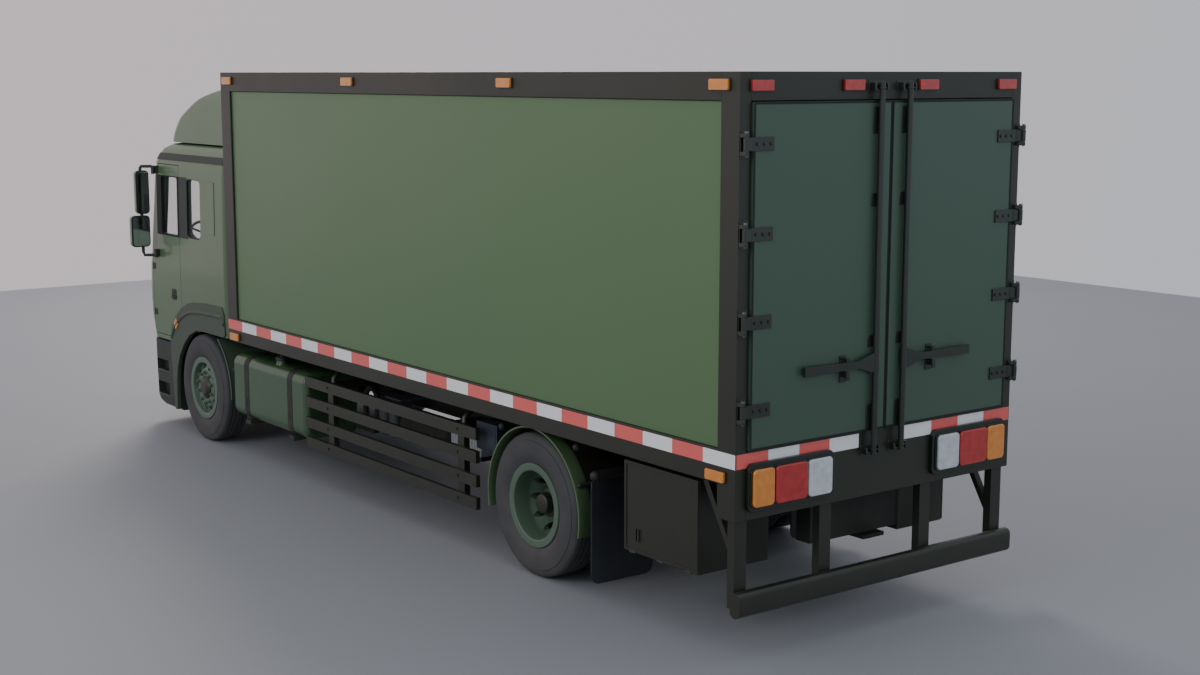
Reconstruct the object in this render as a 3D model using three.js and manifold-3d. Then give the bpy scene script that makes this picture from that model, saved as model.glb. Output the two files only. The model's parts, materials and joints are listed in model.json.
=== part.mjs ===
// Cab-over box lorry used for mail delivery, two axles, dual rear tyres.
// Millimetres, +Z up, ground at z = 0. The nose points along -Y, the lorry's left side is +X.
// Lengths along Y are written from the rear face of the cargo box (y = 0) and shifted at the end,
// so that the whole lorry is centred on the origin.
import * as THREE from 'three';
import { mergeVertices } from 'three/addons/utils/BufferGeometryUtils.js';
import Module from 'manifold-3d';

const wasm = await Module();
wasm.setup();

// ---- driving dimensions ----
const GAP = 0.3; // clearance kept between pieces that touch
const HALF_WIDTH = 1250; // cargo box, half of its overall width
const BOX_FRONT = -7120;
const BOX_TOP = 3570;
const RAIL_BOTTOM = 1100; // underside of the long side rails
const PANEL = { bottom: 1315, top: 3400, front: -6930, rear: -165, outer: 1232, thick: 40 };
const FRAME_INNER = 1190; // inner face of the box's side frames
const FLOOR = { bottom: 1160, top: 1240 };
const FRONT_WALL = 50; // thickness of the wall behind the cab
const REAR_SILL_BOTTOM = 885;
const DOORWAY = { half: 1160, bottom: 1310, top: 3400 };
const DOOR = { outer: 20, inner: -40, edge: 1156, seam: 4, bottom: 1315, top: 3395 };
const DOOR_HINGE = { x: 1235, y: 45, knuckle: 14, leaf: 38, heights: [1560, 2095, 2620, 3150] };
const ROD = { x: 125, y: 50, radius: 19, bottom: 1165, top: 3505, handle: 1760, reach: 745 };
const RAIL = { outer: 430, inner: 355, bottom: 700, top: 950, web: 8, front: -9150, rear: -470 };
const TYRE = { radius: 522, bore: 259, half: 140, sides: 24 };
const FRONT_AXLE = -7884;
const REAR_AXLE = -2222;
const AXLE_HEIGHT = TYRE.radius;
const KINGPIN = 900;
const OUTER_TYRE = 1060; // middle of the front and the outer rear tyres, from the centreline
const INNER_TYRE = 730;
const NOSE = -9350;
const TAIL = 78; // rearmost face, the bosses that guide the lock rods
const FLOOR_CAB = 1220;
const TUNNEL = { half: 430, wall: 40, top: 1440 };

// Cab outline at rising heights: z, half width, front at the centreline, rear, front and rear corner radius.
const CAB_LEVELS = [
  [885, 1172, -9290, -7300, 200, 60],
  [1150, 1180, -9345, -7300, 200, 60],
  [1520, 1180, NOSE, -7300, 200, 60],
  [1700, 1180, -9310, -7300, 200, 60],
  [2600, 1166, -9165, -7300, 190, 60],
  [2720, 1150, -9120, -7300, 190, 70],
  [2820, 1112, -9030, -7312, 180, 80],
  [2868, 1056, -8900, -7345, 170, 90],
  [2885, 960, -8760, -7420, 150, 90],
];
const CAB_BOW = 70; // how far the nose bulges ahead of its corners

const COLOURS = {
  panelGreen: 0x4e684a,
  frameGreen: 0x24261e,
  cabGreen: 0x5f7355,
  doorGreen: 0x304439,
  trimBlack: 0x1e241c,
  chassis: 0x1b1d1a,
  tyre: 0x2c2c2e,
  rim: 0x3c4b41,
  rubber: 0x14181f,
  glass: 0x9fb0b4,
  lamp: 0x82191e,
  mirror: 0x5f7355,
  seat: 0x33363a,
};

// ---- solids ----
function solid(geometry) {
  const bare = new THREE.BufferGeometry();
  bare.setAttribute('position', geometry.getAttribute('position'));
  if (geometry.index) bare.setIndex(geometry.index);
  const merged = mergeVertices(bare, 1e-3);
  const vertProperties = new Float32Array(merged.getAttribute('position').array);
  const triVerts = new Uint32Array(merged.index.array);
  if (signedVolume(vertProperties, triVerts) < 0) flip(triVerts);
  return new wasm.Manifold(new wasm.Mesh({ numProp: 3, vertProperties, triVerts }));
}

function signedVolume(points, triangles) {
  const corner = (i) => new THREE.Vector3().fromArray(points, 3 * triangles[i]);
  let sum = 0;
  for (let i = 0; i < triangles.length; i += 3) sum += corner(i).dot(corner(i + 1).cross(corner(i + 2)));
  return sum / 6;
}

function flip(triangles) {
  for (let i = 0; i < triangles.length; i += 3) {
    [triangles[i], triangles[i + 1]] = [triangles[i + 1], triangles[i]];
  }
}

// The same solid on the other side of the lorry.
function mirrored(part) {
  const mesh = part.getMesh();
  const vertProperties = new Float32Array(mesh.vertProperties);
  const triVerts = new Uint32Array(mesh.triVerts);
  for (let i = 0; i < vertProperties.length; i += 3) vertProperties[i] *= -1;
  flip(triVerts);
  return new wasm.Manifold(new wasm.Mesh({ numProp: 3, vertProperties, triVerts }));
}

const onSide = (side, part) => (side > 0 ? part : mirrored(part));
const join = (parts) => parts.reduce((whole, part) => whole.add(part));
const cut = (part, holes) => holes.reduce((rest, hole) => rest.subtract(hole), part);

function block(x, y, z) {
  const geometry = new THREE.BoxGeometry(x[1] - x[0], y[1] - y[0], z[1] - z[0]);
  geometry.translate((x[0] + x[1]) / 2, (y[0] + y[1]) / 2, (z[0] + z[1]) / 2);
  return solid(geometry);
}

// Outline extruded along an axis. Points are (y, z) for x, (x, z) for y and (x, y) for z.
function prism(axis, outline, span) {
  const shape = new THREE.Shape(outline.map(([a, b]) => new THREE.Vector2(a, b)));
  const depth = span[1] - span[0];
  const geometry = new THREE.ExtrudeGeometry(shape, { depth, bevelEnabled: false, curveSegments: 1 });
  const vector = (x, y, z) => new THREE.Vector3(x, y, z);
  const frames = {
    x: [vector(0, 1, 0), vector(0, 0, 1), vector(1, 0, 0), vector(span[0], 0, 0)],
    y: [vector(1, 0, 0), vector(0, 0, 1), vector(0, -1, 0), vector(0, span[1], 0)],
    z: [vector(1, 0, 0), vector(0, 1, 0), vector(0, 0, 1), vector(0, 0, span[0])],
  };
  const [right, up, out, origin] = frames[axis];
  geometry.applyMatrix4(new THREE.Matrix4().makeBasis(right, up, out).setPosition(origin));
  return solid(geometry);
}

function rod(from, to, radius, sides = 12, topRadius = radius) {
  const start = new THREE.Vector3(...from);
  const run = new THREE.Vector3(...to).sub(start);
  const geometry = new THREE.CylinderGeometry(topRadius, radius, run.length(), sides);
  geometry.translate(0, run.length() / 2, 0);
  const turn = new THREE.Quaternion().setFromUnitVectors(new THREE.Vector3(0, 1, 0), run.normalize());
  geometry.applyQuaternion(turn);
  geometry.translate(...start.toArray());
  return solid(geometry);
}

// Closed profile of (distance along the axle, radius) turned about an axle along X, a flat facet downwards.
function wheelRing(profile, y, sides = TYRE.sides) {
  const flat = 1 / Math.cos(Math.PI / sides);
  const points = [...profile, profile[0]].map(([along, radius]) => new THREE.Vector2(radius * flat, along));
  const geometry = new THREE.LatheGeometry(points, sides, Math.PI / sides);
  geometry.rotateZ(-Math.PI / 2);
  geometry.translate(0, y, AXLE_HEIGHT);
  return solid(geometry);
}

function roundedRectangle(a, b, radius, steps = 3) {
  const corners = [
    [a[1] - radius, b[1] - radius, 0],
    [a[0] + radius, b[1] - radius, 90],
    [a[0] + radius, b[0] + radius, 180],
    [a[1] - radius, b[0] + radius, 270],
  ];
  const outline = [];
  for (const [centreA, centreB, start] of corners) {
    for (let i = 0; i <= steps; i += 1) {
      const angle = THREE.MathUtils.degToRad(start + (90 * i) / steps);
      outline.push([centreA + radius * Math.cos(angle), centreB + radius * Math.sin(angle)]);
    }
  }
  return outline;
}

// Closed skin over rings of equal point count, capped with fans.
function loft(rings) {
  const count = rings[0].length;
  const positions = rings.flat().flatMap((point) => point);
  const index = [];
  for (let level = 0; level + 1 < rings.length; level += 1) {
    for (let i = 0; i < count; i += 1) {
      const a = level * count + i;
      const b = level * count + ((i + 1) % count);
      index.push(a, b, b + count, a, b + count, a + count);
    }
  }
  const last = (rings.length - 1) * count;
  for (let i = 1; i + 1 < count; i += 1) {
    index.push(0, i + 1, i);
    index.push(last, last + i, last + i + 1);
  }
  const geometry = new THREE.BufferGeometry();
  geometry.setAttribute('position', new THREE.Float32BufferAttribute(positions, 3));
  geometry.setIndex(index);
  return solid(geometry);
}

// Horizontal outline with round front corners and a bowed front, as a ring at height z.
function planRing([z, half, front, rear, frontRadius, rearRadius], inset = 0, bow = CAB_BOW) {
  const halfIn = half - inset;
  const [frontIn, rearIn] = [front + inset, rear - inset];
  const depth = rearIn - frontIn;
  const rf = Math.min(Math.max(frontRadius - inset, 20), depth / 2);
  const rr = Math.max(rearRadius - inset, 10);
  const bowIn = Math.min(bow, 0.3 * depth);
  const arc = (x, y, radius, from, to, steps) => {
    const points = [];
    for (let i = 0; i <= steps; i += 1) {
      const angle = THREE.MathUtils.degToRad(from + ((to - from) * i) / steps);
      points.push([x + radius * Math.cos(angle), y + radius * Math.sin(angle)]);
    }
    return points;
  };
  const leftSide = [
    ...arc(halfIn - rr, rearIn - rr, rr, 90, 0, 2),
    ...arc(halfIn - rf, frontIn + bowIn + rf, rf, 0, -90, 4),
    [(halfIn - rf) / 2, frontIn + bowIn / 4],
  ];
  const rightSide = leftSide.map(([x, y]) => [-x, y]).reverse();
  return [...leftSide, [0, frontIn], ...rightSide].map(([x, y]) => [x, y, z]);
}

function cabLevel(z) {
  const upper = CAB_LEVELS.findIndex((level) => level[0] >= z);
  if (upper <= 0) return [z, ...CAB_LEVELS[0].slice(1)];
  const [a, b] = [CAB_LEVELS[upper - 1], CAB_LEVELS[upper]];
  const share = (z - a[0]) / (b[0] - a[0]);
  return a.map((value, i) => value + (b[i] - value) * share);
}

const cabSkin = (heights, inset) => loft(heights.map((z) => planRing(cabLevel(z), inset)));
const CAB_HEIGHTS = CAB_LEVELS.map((level) => level[0]);

// ---- scene graph ----
const truck = new THREE.Group();
truck.position.y = -(NOSE + TAIL) / 2;

function piece(name, part, colour, roughness = 0.5, metalness = 0) {
  const { vertProperties, triVerts } = part.getMesh();
  const geometry = new THREE.BufferGeometry();
  geometry.setAttribute('position', new THREE.BufferAttribute(new Float32Array(vertProperties), 3));
  geometry.setIndex(new THREE.BufferAttribute(new Uint32Array(triVerts), 1));
  geometry.computeVertexNormals();
  const material = new THREE.MeshStandardMaterial({ color: colour, roughness, metalness });
  const mesh = new THREE.Mesh(geometry, material);
  mesh.name = name;
  truck.add(mesh);
}

function pair(name, makeLeft, colour, roughness, metalness) {
  const left = makeLeft();
  for (const [suffix, side] of [['left', 1], ['right', -1]]) {
    piece(`${name}_${suffix}`, onSide(side, left), colour, roughness, metalness);
  }
}

// ---- chassis ----
function channelRail() {
  const outline = [
    [RAIL.outer, RAIL.bottom], [RAIL.outer, RAIL.top], [RAIL.inner, RAIL.top],
    [RAIL.inner, RAIL.top - RAIL.web], [RAIL.outer - RAIL.web, RAIL.top - RAIL.web],
    [RAIL.outer - RAIL.web, RAIL.bottom + RAIL.web], [RAIL.inner, RAIL.bottom + RAIL.web],
    [RAIL.inner, RAIL.bottom],
  ];
  return prism('y', outline, [RAIL.front, RAIL.rear]);
}

function tankBracket(y) {
  const span = [y - 45, y + 45];
  return join([
    block([RAIL.outer - 4, TANK.inner - 5], span, [800, 900]),
    block([TANK.inner - 45, TANK.inner - 5], span, [TANK.bottom - 40, 900]),
    block([TANK.inner - 45, TANK.outer - 10], span, [TANK.bottom - 40, TANK.bottom - GAP]),
  ]);
}

const TANK = { inner: 650, outer: 1200, bottom: 370, top: 970, front: -7190, rear: -5710, corner: 80 };
const TANK_BRACKETS = [-6885, -6004];
const LOCKER = { front: -1148, rear: -400, bottom: 450, top: 1060, inner: 600, wall: 8, door: 15 };
const LOCKER_OUTER = { left: 1200, right: 1060 };
const TOW_PLATE = { x: [-595, 230], y: [-530, -400], z: [490, 870] };

function chassisFrame() {
  const rail = channelRail();
  const webs = RAIL.outer - RAIL.web / 2;
  const members = [-9080, -6450, -5000, -3300, -1250].map((y) => block([-webs, webs], [y - 50, y + 50], [850, 945]));
  const lockerArm = (y) => block([RAIL.outer - 4, LOCKER.inner - GAP], [y - 30, y + 30], [740, 880]);
  const lockerArms = [-1020, -600].flatMap((y) => [lockerArm(y), mirrored(lockerArm(y))]);
  const towPlate = block(TOW_PLATE.x, TOW_PLATE.y, TOW_PLATE.z);
  return join([rail, mirrored(rail), ...members, ...lockerArms, ...TANK_BRACKETS.map(tankBracket), towPlate]);
}
piece('chassis_frame', chassisFrame(), COLOURS.chassis, 0.6);

// Front axle beam and its leaf packs, with an eye at each end for the kingpin.
function leafPack(y) {
  const leaves = [[700, 30], [520, 30], [340, 30]].map(([half, thick], i) => {
    const top = RAIL.bottom - 30 - i * thick;
    return block([360, 430], [y - half, y + half], [top - thick - 1, top]);
  });
  const hanger = (end) => block([375, 415], [end - 30, end + 30], [RAIL.bottom - 31, RAIL.bottom - GAP]);
  return join([...leaves, hanger(y - 660), hanger(y + 660)]);
}

function frontAxle() {
  const beam = block([-830, 830], [FRONT_AXLE - 45, FRONT_AXLE + 45], [440, 510]);
  const seat = block([360, 430], [FRONT_AXLE - 60, FRONT_AXLE + 60], [500, 585]);
  const arm = block([800, KINGPIN - 20], [FRONT_AXLE - 40, FRONT_AXLE + 40], [440, 560]);
  const eye = rod([KINGPIN, FRONT_AXLE, 482], [KINGPIN, FRONT_AXLE, 560], 42, 16);
  const bore = rod([KINGPIN, FRONT_AXLE, 300], [KINGPIN, FRONT_AXLE, 700], 28, 16);
  const armTrimmed = cut(arm, [block([780, 960], [FRONT_AXLE - 60, FRONT_AXLE + 60], [430, 482])]);
  const end = cut(join([armTrimmed, eye]), [bore]);
  const step = block([760, 815], [FRONT_AXLE - 40, FRONT_AXLE + 40], [440, 560]);
  const half = join([seat, leafPack(FRONT_AXLE), end, step]);
  return join([beam, half, mirrored(half)]);
}
piece('front_axle', frontAxle(), COLOURS.chassis, 0.6);

function knuckle() {
  const jaw = (bottom, top) => block([KINGPIN - 35, KINGPIN + 75], [FRONT_AXLE - 35, FRONT_AXLE + 35], [bottom, top]);
  const web = block([KINGPIN + 50, KINGPIN + 76], [FRONT_AXLE - 50, FRONT_AXLE + 50], [420, 620]);
  const kingpin = rod([KINGPIN, FRONT_AXLE, 430], [KINGPIN, FRONT_AXLE, 610], 26, 16);
  const spindle = rod([KINGPIN + 70, FRONT_AXLE, AXLE_HEIGHT], [KINGPIN + 190, FRONT_AXLE, AXLE_HEIGHT], 40, 16);
  return join([jaw(420, 478), jaw(564, 620), web, kingpin, spindle]);
}
pair('knuckle', knuckle, COLOURS.chassis, 0.6);

function rearAxle() {
  const tube = rod([-725, REAR_AXLE, AXLE_HEIGHT], [725, REAR_AXLE, AXLE_HEIGHT], 70, 16);
  const casing = rod([0, REAR_AXLE - 190, AXLE_HEIGHT], [0, REAR_AXLE + 170, AXLE_HEIGHT], 195, 16, 150);
  const nose = rod([0, REAR_AXLE - 290, AXLE_HEIGHT + 30], [0, REAR_AXLE - 170, AXLE_HEIGHT + 25], 95, 16);
  const seat = block([360, 430], [REAR_AXLE - 60, REAR_AXLE + 60], [AXLE_HEIGHT + 20, 585]);
  const half = join([seat, leafPack(REAR_AXLE)]);
  return join([tube, casing, nose, half, mirrored(half)]);
}
piece('rear_axle', rearAxle(), COLOURS.chassis, 0.6);

const PROPSHAFT = { front: [0, -6695, 700], rear: [0, REAR_AXLE - 295, AXLE_HEIGHT + 31] };
function propshaft() {
  const [front, rear] = [new THREE.Vector3(...PROPSHAFT.front), new THREE.Vector3(...PROPSHAFT.rear)];
  const along = (share) => front.clone().lerp(rear, share).toArray();
  return join([
    rod(along(0.001), along(0.999), 48, 12),
    rod(along(0.001), along(0.01), 80, 12),
    rod(along(0.99), along(0.999), 80, 12),
  ]);
}
piece('propshaft', propshaft(), COLOURS.chassis, 0.5, 0.5);

function engine() {
  return join([
    block([-330, 330], [-8850, -7600], [620, 1380]),
    block([-290, 290], [-7610, -7400], [600, 1250]),
    block([-190, 190], [-7410, -6900], [590, 840]),
    rod([0, -6910, 700], [0, -6700, 700], 90, 12),
  ]);
}
piece('engine_and_gearbox', engine(), 0x5d615e, 0.6, 0.3);

// ---- wheels ----
function tyre(middle, y) {
  const { half, bore, radius } = TYRE;
  const profile = [
    [-108, bore], [-half, 380], [-106, radius], [106, radius], [half, 380], [108, bore],
  ];
  return wheelRing(profile.map(([along, r]) => [middle + along, r]), y);
}

// Barrel from x = inner to x = outer with a web and a hub that the spindle or the axle tube enters.
function rim({ inner, outer, webInner, webOuter, hubInner, hubOuter, bore, boreEnd }, y) {
  const barrel = TYRE.bore - 1;
  const profile = [
    [inner, barrel - 14], [inner, barrel], [outer - 12, barrel], [outer, 276],
    [outer, barrel - 14], [webInner + 14, barrel - 14], [webOuter + 14, 150], [hubOuter, 110],
    [hubOuter, 0], [boreEnd, 0], [boreEnd, bore], [hubInner, bore], [hubInner, 140],
    [webInner, barrel - 14],
  ];
  return wheelRing(profile, y);
}

const FRONT_RIM = {
  inner: 925, outer: 1196, webInner: 1100, webOuter: 1150, hubInner: 985, hubOuter: 1196, bore: 43, boreEnd: 1096,
};
const REAR_RIM = {
  inner: 592, outer: 1196, webInner: 915, webOuter: 885, hubInner: 728, hubOuter: 1150, bore: 60, boreEnd: 760,
};
for (const [suffix, side] of [['left', 1], ['right', -1]]) {
  const put = (name, part, colour, rough, metal) => piece(`${name}_${suffix}`, onSide(side, part), colour, rough, metal);
  put('tyre_front', tyre(OUTER_TYRE, FRONT_AXLE), COLOURS.tyre, 0.9);
  put('rim_front', rim(FRONT_RIM, FRONT_AXLE), COLOURS.rim, 0.4, 0.3);
  put('tyre_rear_outer', tyre(OUTER_TYRE, REAR_AXLE), COLOURS.tyre, 0.9);
  put('tyre_rear_inner', tyre(INNER_TYRE, REAR_AXLE), COLOURS.tyre, 0.9);
  put('rim_rear', rim(REAR_RIM, REAR_AXLE), COLOURS.rim, 0.4, 0.3);
}

// ---- cargo box ----
function sideFrame() {
  const x = [FRAME_INNER, HALF_WIDTH];
  const length = [BOX_FRONT, PANEL.rear - GAP];
  return join([
    block(x, length, [RAIL_BOTTOM, PANEL.bottom]),
    block(x, length, [PANEL.top, BOX_TOP]),
    block(x, [BOX_FRONT, PANEL.front], [RAIL_BOTTOM, BOX_TOP]),
  ]);
}
pair('side_frame', sideFrame, COLOURS.frameGreen);

const sidePanel = () => block(
  [PANEL.outer - PANEL.thick, PANEL.outer],
  [PANEL.front + GAP, PANEL.rear - GAP],
  [PANEL.bottom + GAP, PANEL.top - GAP],
);
pair('side_panel', sidePanel, COLOURS.panelGreen);

const insideWidth = [-FRAME_INNER + GAP, FRAME_INNER - GAP];
function boxFloor() {
  const deck = block(insideWidth, [BOX_FRONT + FRONT_WALL + GAP, PANEL.rear - GAP], [FLOOR.bottom, FLOOR.top]);
  const bearers = [];
  for (let y = BOX_FRONT + 60; y < -300; y += 760) {
    bearers.push(block([-1150, 1150], [y, y + 80], [RAIL_BOTTOM, FLOOR.bottom + 1]));
  }
  const sill = block([RAIL.inner, RAIL.outer], [BOX_FRONT + 60, -260], [RAIL.top + GAP, FLOOR.bottom + 1]);
  return join([deck, ...bearers, sill, mirrored(sill)]);
}
piece('box_floor', boxFloor(), COLOURS.chassis, 0.7);
piece('front_wall', block(
  insideWidth, [BOX_FRONT, BOX_FRONT + FRONT_WALL], [FLOOR.bottom, 3490 - GAP],
), COLOURS.panelGreen);
piece('roof_panel', block(insideWidth, [BOX_FRONT, PANEL.rear - GAP], [3490, 3565]), COLOURS.panelGreen);

function knuckleOutline(from, to) {
  const { x, y, knuckle: radius } = DOOR_HINGE;
  return [0, 1, 2, 3, 4].map((step) => {
    const angle = THREE.MathUtils.degToRad(from + ((to - from) * step) / 4);
    return [x + radius * Math.cos(angle), y + radius * Math.sin(angle)];
  });
}

// Portal round the rear doorway, with the post halves of the door hinges and the lock rods' keepers.
function postHinge(z) {
  const { x, leaf } = DOOR_HINGE;
  const outline = [[x - 40, -1], [x + 12, -1], ...knuckleOutline(0, 180), [x - 30, 30]];
  const lug = (from, to) => prism('z', outline, [from, to]);
  return [lug(z + leaf + 2, z + leaf + 28), lug(z - leaf - 28, z - leaf - 2)];
}

function rodKeeper(z) {
  const cheek = (offset) => block([ROD.x + offset - 8, ROD.x + offset + 8], [-1, ROD.y], [z - 22, z + 22]);
  return [cheek(-54), cheek(54)];
}

function rearFrame() {
  const depth = [PANEL.rear, 0];
  const post = block([DOORWAY.half, HALF_WIDTH], depth, [REAR_SILL_BOTTOM, BOX_TOP]);
  const halfTrim = [post, ...DOOR_HINGE.heights.flatMap(postHinge), ...[1190, 3480].flatMap(rodKeeper)];
  const header = block([-DOORWAY.half - 1, DOORWAY.half + 1], depth, [DOORWAY.top, BOX_TOP]);
  const sill = block([-DOORWAY.half - 1, DOORWAY.half + 1], depth, [REAR_SILL_BOTTOM, DOORWAY.bottom]);
  return join([header, sill, ...halfTrim, ...halfTrim.map(mirrored)]);
}
piece('rear_frame', rearFrame(), COLOURS.frameGreen);

function doorHinge(z) {
  const { x, leaf } = DOOR_HINGE;
  const front = DOOR.outer - 1;
  return prism('z', [
    [1000, front], [x + 8, front], ...knuckleOutline(0, 180), [x - 14, DOOR.outer + 10], [1000, DOOR.outer + 10],
  ], [z - leaf, z + leaf]);
}

const ROD_GUIDES = [[1333, 1488], [1862, 1925], [2746, 2817], [3196, 3354]];
function rearDoor() {
  const slab = block([DOOR.seam, DOOR.edge], [DOOR.inner, DOOR.outer], [DOOR.bottom, DOOR.top]);
  const guides = ROD_GUIDES.map((z) => block([ROD.x - 32, ROD.x + 32], [DOOR.outer - 1, TAIL], z));
  const bore = rod([ROD.x, ROD.y, 1300], [ROD.x, ROD.y, 3400], ROD.radius + 2, 12);
  return join([slab, ...DOOR_HINGE.heights.map(doorHinge), ...guides.map((guide) => cut(guide, [bore]))]);
}
pair('rear_door', rearDoor, COLOURS.doorGreen);

// Lock rod with its cams and the long handle that lies along the door.
function lockRod() {
  const { x, y, radius, bottom, top, handle, reach } = ROD;
  const cam = (z) => block([x - 10, x + 10], [y - 38, y], [z - 12, z + 12]);
  return join([
    rod([x, y, bottom], [x, y, top], radius, 12),
    cam(1190), cam(3480),
    prism('y', [
      [x - 10, handle - 60], [x + 40, handle - 60], [x + 160, handle - 22], [reach, handle - 30],
      [reach, handle + 30], [x + 160, handle + 22], [x + 40, handle + 60], [x - 10, handle + 60],
    ], [y - 10, y + 12]),
  ]);
}
pair('lock_rod', lockRod, COLOURS.trimBlack, 0.4, 0.3);

const tailLamp = () => prism('y', roundedRectangle([460, 1158], [945, 1235], 40), [GAP, 40]);
pair('tail_lamp', tailLamp, COLOURS.lamp, 0.3);

function rearBumper() {
  const bar = prism('x', roundedRectangle([-35, 50], [290, 450], 36), [-HALF_WIDTH, HALF_WIDTH]);
  const post = (x) => block([x - 50, x + 50], [-90, -30], [330, REAR_SILL_BOTTOM - GAP]);
  const brace = prism('x', [[-88, 575], [-88, 645], [-340, 1084], [-378, 1062]], [1127, 1175]);
  const half = [post(460), post(1175), brace];
  return join([bar, ...half, ...half.map(mirrored)]);
}
piece('rear_bumper', rearBumper(), COLOURS.frameGreen, 0.4);

// ---- side equipment ----
function fuelTank() {
  const { inner, outer, bottom, top, corner } = TANK;
  const body = prism('y', roundedRectangle([inner, outer], [bottom, top], corner, 4), [TANK.front, TANK.rear]);
  return join([body, rod([FILLER.x, FILLER.y, top - 10], [FILLER.x, FILLER.y, 995], 50, 16)]);
}
const FILLER = { x: 1090, y: -6350 };
piece('fuel_tank', fuelTank(), COLOURS.cabGreen, 0.4);
piece('fuel_cap', rod([FILLER.x, FILLER.y, 995 + GAP], [FILLER.x, FILLER.y, 1040], 58, 16), COLOURS.trimBlack);

function sideGuard() {
  const rails = [378, 552, 735, 912].map((z) => block([1165, 1200], [-5695, -2950], [z - 45, z + 45]));
  const posts = [-5290, -3210].flatMap((y) => [
    block([1115, 1166], [y - 45, y + 45], [340, 950]),
    block([RAIL.outer + GAP, 1120], [y - 45, y + 45], [896, 946]),
  ]);
  return join([...rails, ...posts]);
}
pair('side_guard', sideGuard, COLOURS.frameGreen, 0.4);

const MUDGUARD = { inner: 556, outer: 563, from: -12, to: 192, x: [640, 1200] };
function mudguard() {
  const { inner, outer, from, to, x } = MUDGUARD;
  const arc = (radius, start, end) => {
    const points = [];
    for (let i = 0; i <= 16; i += 1) {
      const angle = THREE.MathUtils.degToRad(start + ((end - start) * i) / 16);
      points.push([REAR_AXLE + radius * Math.cos(angle), AXLE_HEIGHT + radius * Math.sin(angle)]);
    }
    return points;
  };
  const sheet = prism('x', [...arc(outer, from, to), ...arc(inner, to, from)], x);
  const stay = (side) => {
    const y = REAR_AXLE + side * 521;
    return rod([RAIL.outer + GAP, y, 765], [1190, y, 765], 17, 10);
  };
  return join([sheet, stay(1), stay(-1)]);
}
pair('mudguard', mudguard, COLOURS.cabGreen, 0.4);

function mudflap() {
  const flap = prism('y', roundedRectangle([660, 1196], [110, 840], 70), [-1526, -1512]);
  return join([flap, rod([RAIL.outer + GAP, -1519, 845], [1196, -1519, 845], 20, 10)]);
}
pair('mudflap', mudflap, COLOURS.rubber, 0.8);

// Lockers hang on the frame behind the rear wheels, each with a door hinged along its lower edge.
function locker(outer) {
  const face = outer - LOCKER.door - GAP;
  const [y, z] = [[LOCKER.front, LOCKER.rear], [LOCKER.bottom, LOCKER.top]];
  const { wall } = LOCKER;
  const hollow = block([LOCKER.inner + wall, face + 1], [y[0] + wall, y[1] - wall], [z[0] + wall, z[1] - wall]);
  return cut(block([LOCKER.inner, face], y, z), [hollow]);
}

function lockerDoor(outer) {
  return block([outer - LOCKER.door, outer], [LOCKER.front, LOCKER.rear], [LOCKER.bottom + 5, LOCKER.top]);
}
piece('toolbox_left', locker(LOCKER_OUTER.left), COLOURS.frameGreen);
piece('toolbox_right', mirrored(locker(LOCKER_OUTER.right)), COLOURS.frameGreen);
piece('toolbox_door_left', lockerDoor(LOCKER_OUTER.left), COLOURS.frameGreen);
piece('toolbox_door_right', mirrored(lockerDoor(LOCKER_OUTER.right)), COLOURS.frameGreen);

piece('air_tank', join([
  rod([700, -4750, 640], [700, -3950, 640], 130, 16),
  block([RAIL.outer + GAP, 700], [-4700, -4640], [740, 800]),
  block([RAIL.outer + GAP, 700], [-4060, -4000], [740, 800]),
]), COLOURS.chassis, 0.5, 0.3);

// ---- cab ----
const CAB_DOOR = {
  outline: [
    [-9060, 930], [-8690, 930], [-8617, 1040], [-8452, 1200], [-8363, 1245], [-8363, 2670], [-8905, 2670], [-9060, 1750],
  ],
  gap: 6, thick: 60, glassX: [1141, 1149],
};
const MIRROR_AXIS = { x: 1216, y: -8880 };
const WINDOW = { front: -8900, rear: -8395, bottom: 1970, top: 2546 };
const QUARTER = { front: -8170, rear: -7860 };
const SCREEN = { half: 1000, bottom: 1780, top: 2600, gap: 3 };
const LID = { half: 950, bottom: 1020, top: 1560, gap: 4, thick: 30 };

// Outline shrunk by moving each corner towards the middle of its two offset edges.
function inset(outline, distance) {
  return outline.map((corner, i) => {
    const before = outline[(i + outline.length - 1) % outline.length];
    const after = outline[(i + 1) % outline.length];
    const unit = (a, b) => new THREE.Vector2(b[0] - a[0], b[1] - a[1]).normalize();
    const [edgeIn, edgeOut] = [unit(before, corner), unit(corner, after)];
    const normal = new THREE.Vector2(-edgeIn.y - edgeOut.y, edgeIn.x + edgeOut.x).normalize();
    const reach = distance / (-normal.x * edgeIn.y + normal.y * edgeIn.x);
    return [corner[0] + normal.x * reach, corner[1] + normal.y * reach];
  });
}

function cabShell() {
  const outer = cabSkin(CAB_HEIGHTS, 0);
  const room = cabSkin([FLOOR_CAB, 1520, 1700, 2600, 2720, 2800, 2835], 50);
  const under = cabSkin([800, 885, 1150, FLOOR_CAB - 40], 50);
  const tunnelOuter = TUNNEL.half + TUNNEL.wall;
  const tunnel = block([-tunnelOuter, tunnelOuter], [-9280, -7310], [FLOOR_CAB - 30, TUNNEL.top + TUNNEL.wall]);
  const engineBay = block([-TUNNEL.half, TUNNEL.half], [-9250, -7200], [800, TUNNEL.top]);
  const arch = prism('x', [
    [-8560, 600], [-8500, 700], [-8438, 760], [-8230, 1030], [-8080, 1078], [-7200, 1078], [-7200, 600],
  ], [-1300, 1300]);
  const doorHole = prism('x', CAB_DOOR.outline, [1000, 1300]);
  const quarter = block([1000, 1300], [QUARTER.front, QUARTER.rear], [WINDOW.bottom, WINDOW.top]);
  const screen = block([-SCREEN.half, SCREEN.half], [-9400, -8950], [SCREEN.bottom, SCREEN.top]);
  const lid = block([-LID.half, LID.half], [-9400, -9150], [LID.bottom, LID.top]);
  const holes = [engineBay, arch, doorHole, mirrored(doorHole), quarter, mirrored(quarter), screen, lid];
  return cut(cut(outer, [room, under]).add(tunnel), holes);
}
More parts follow.
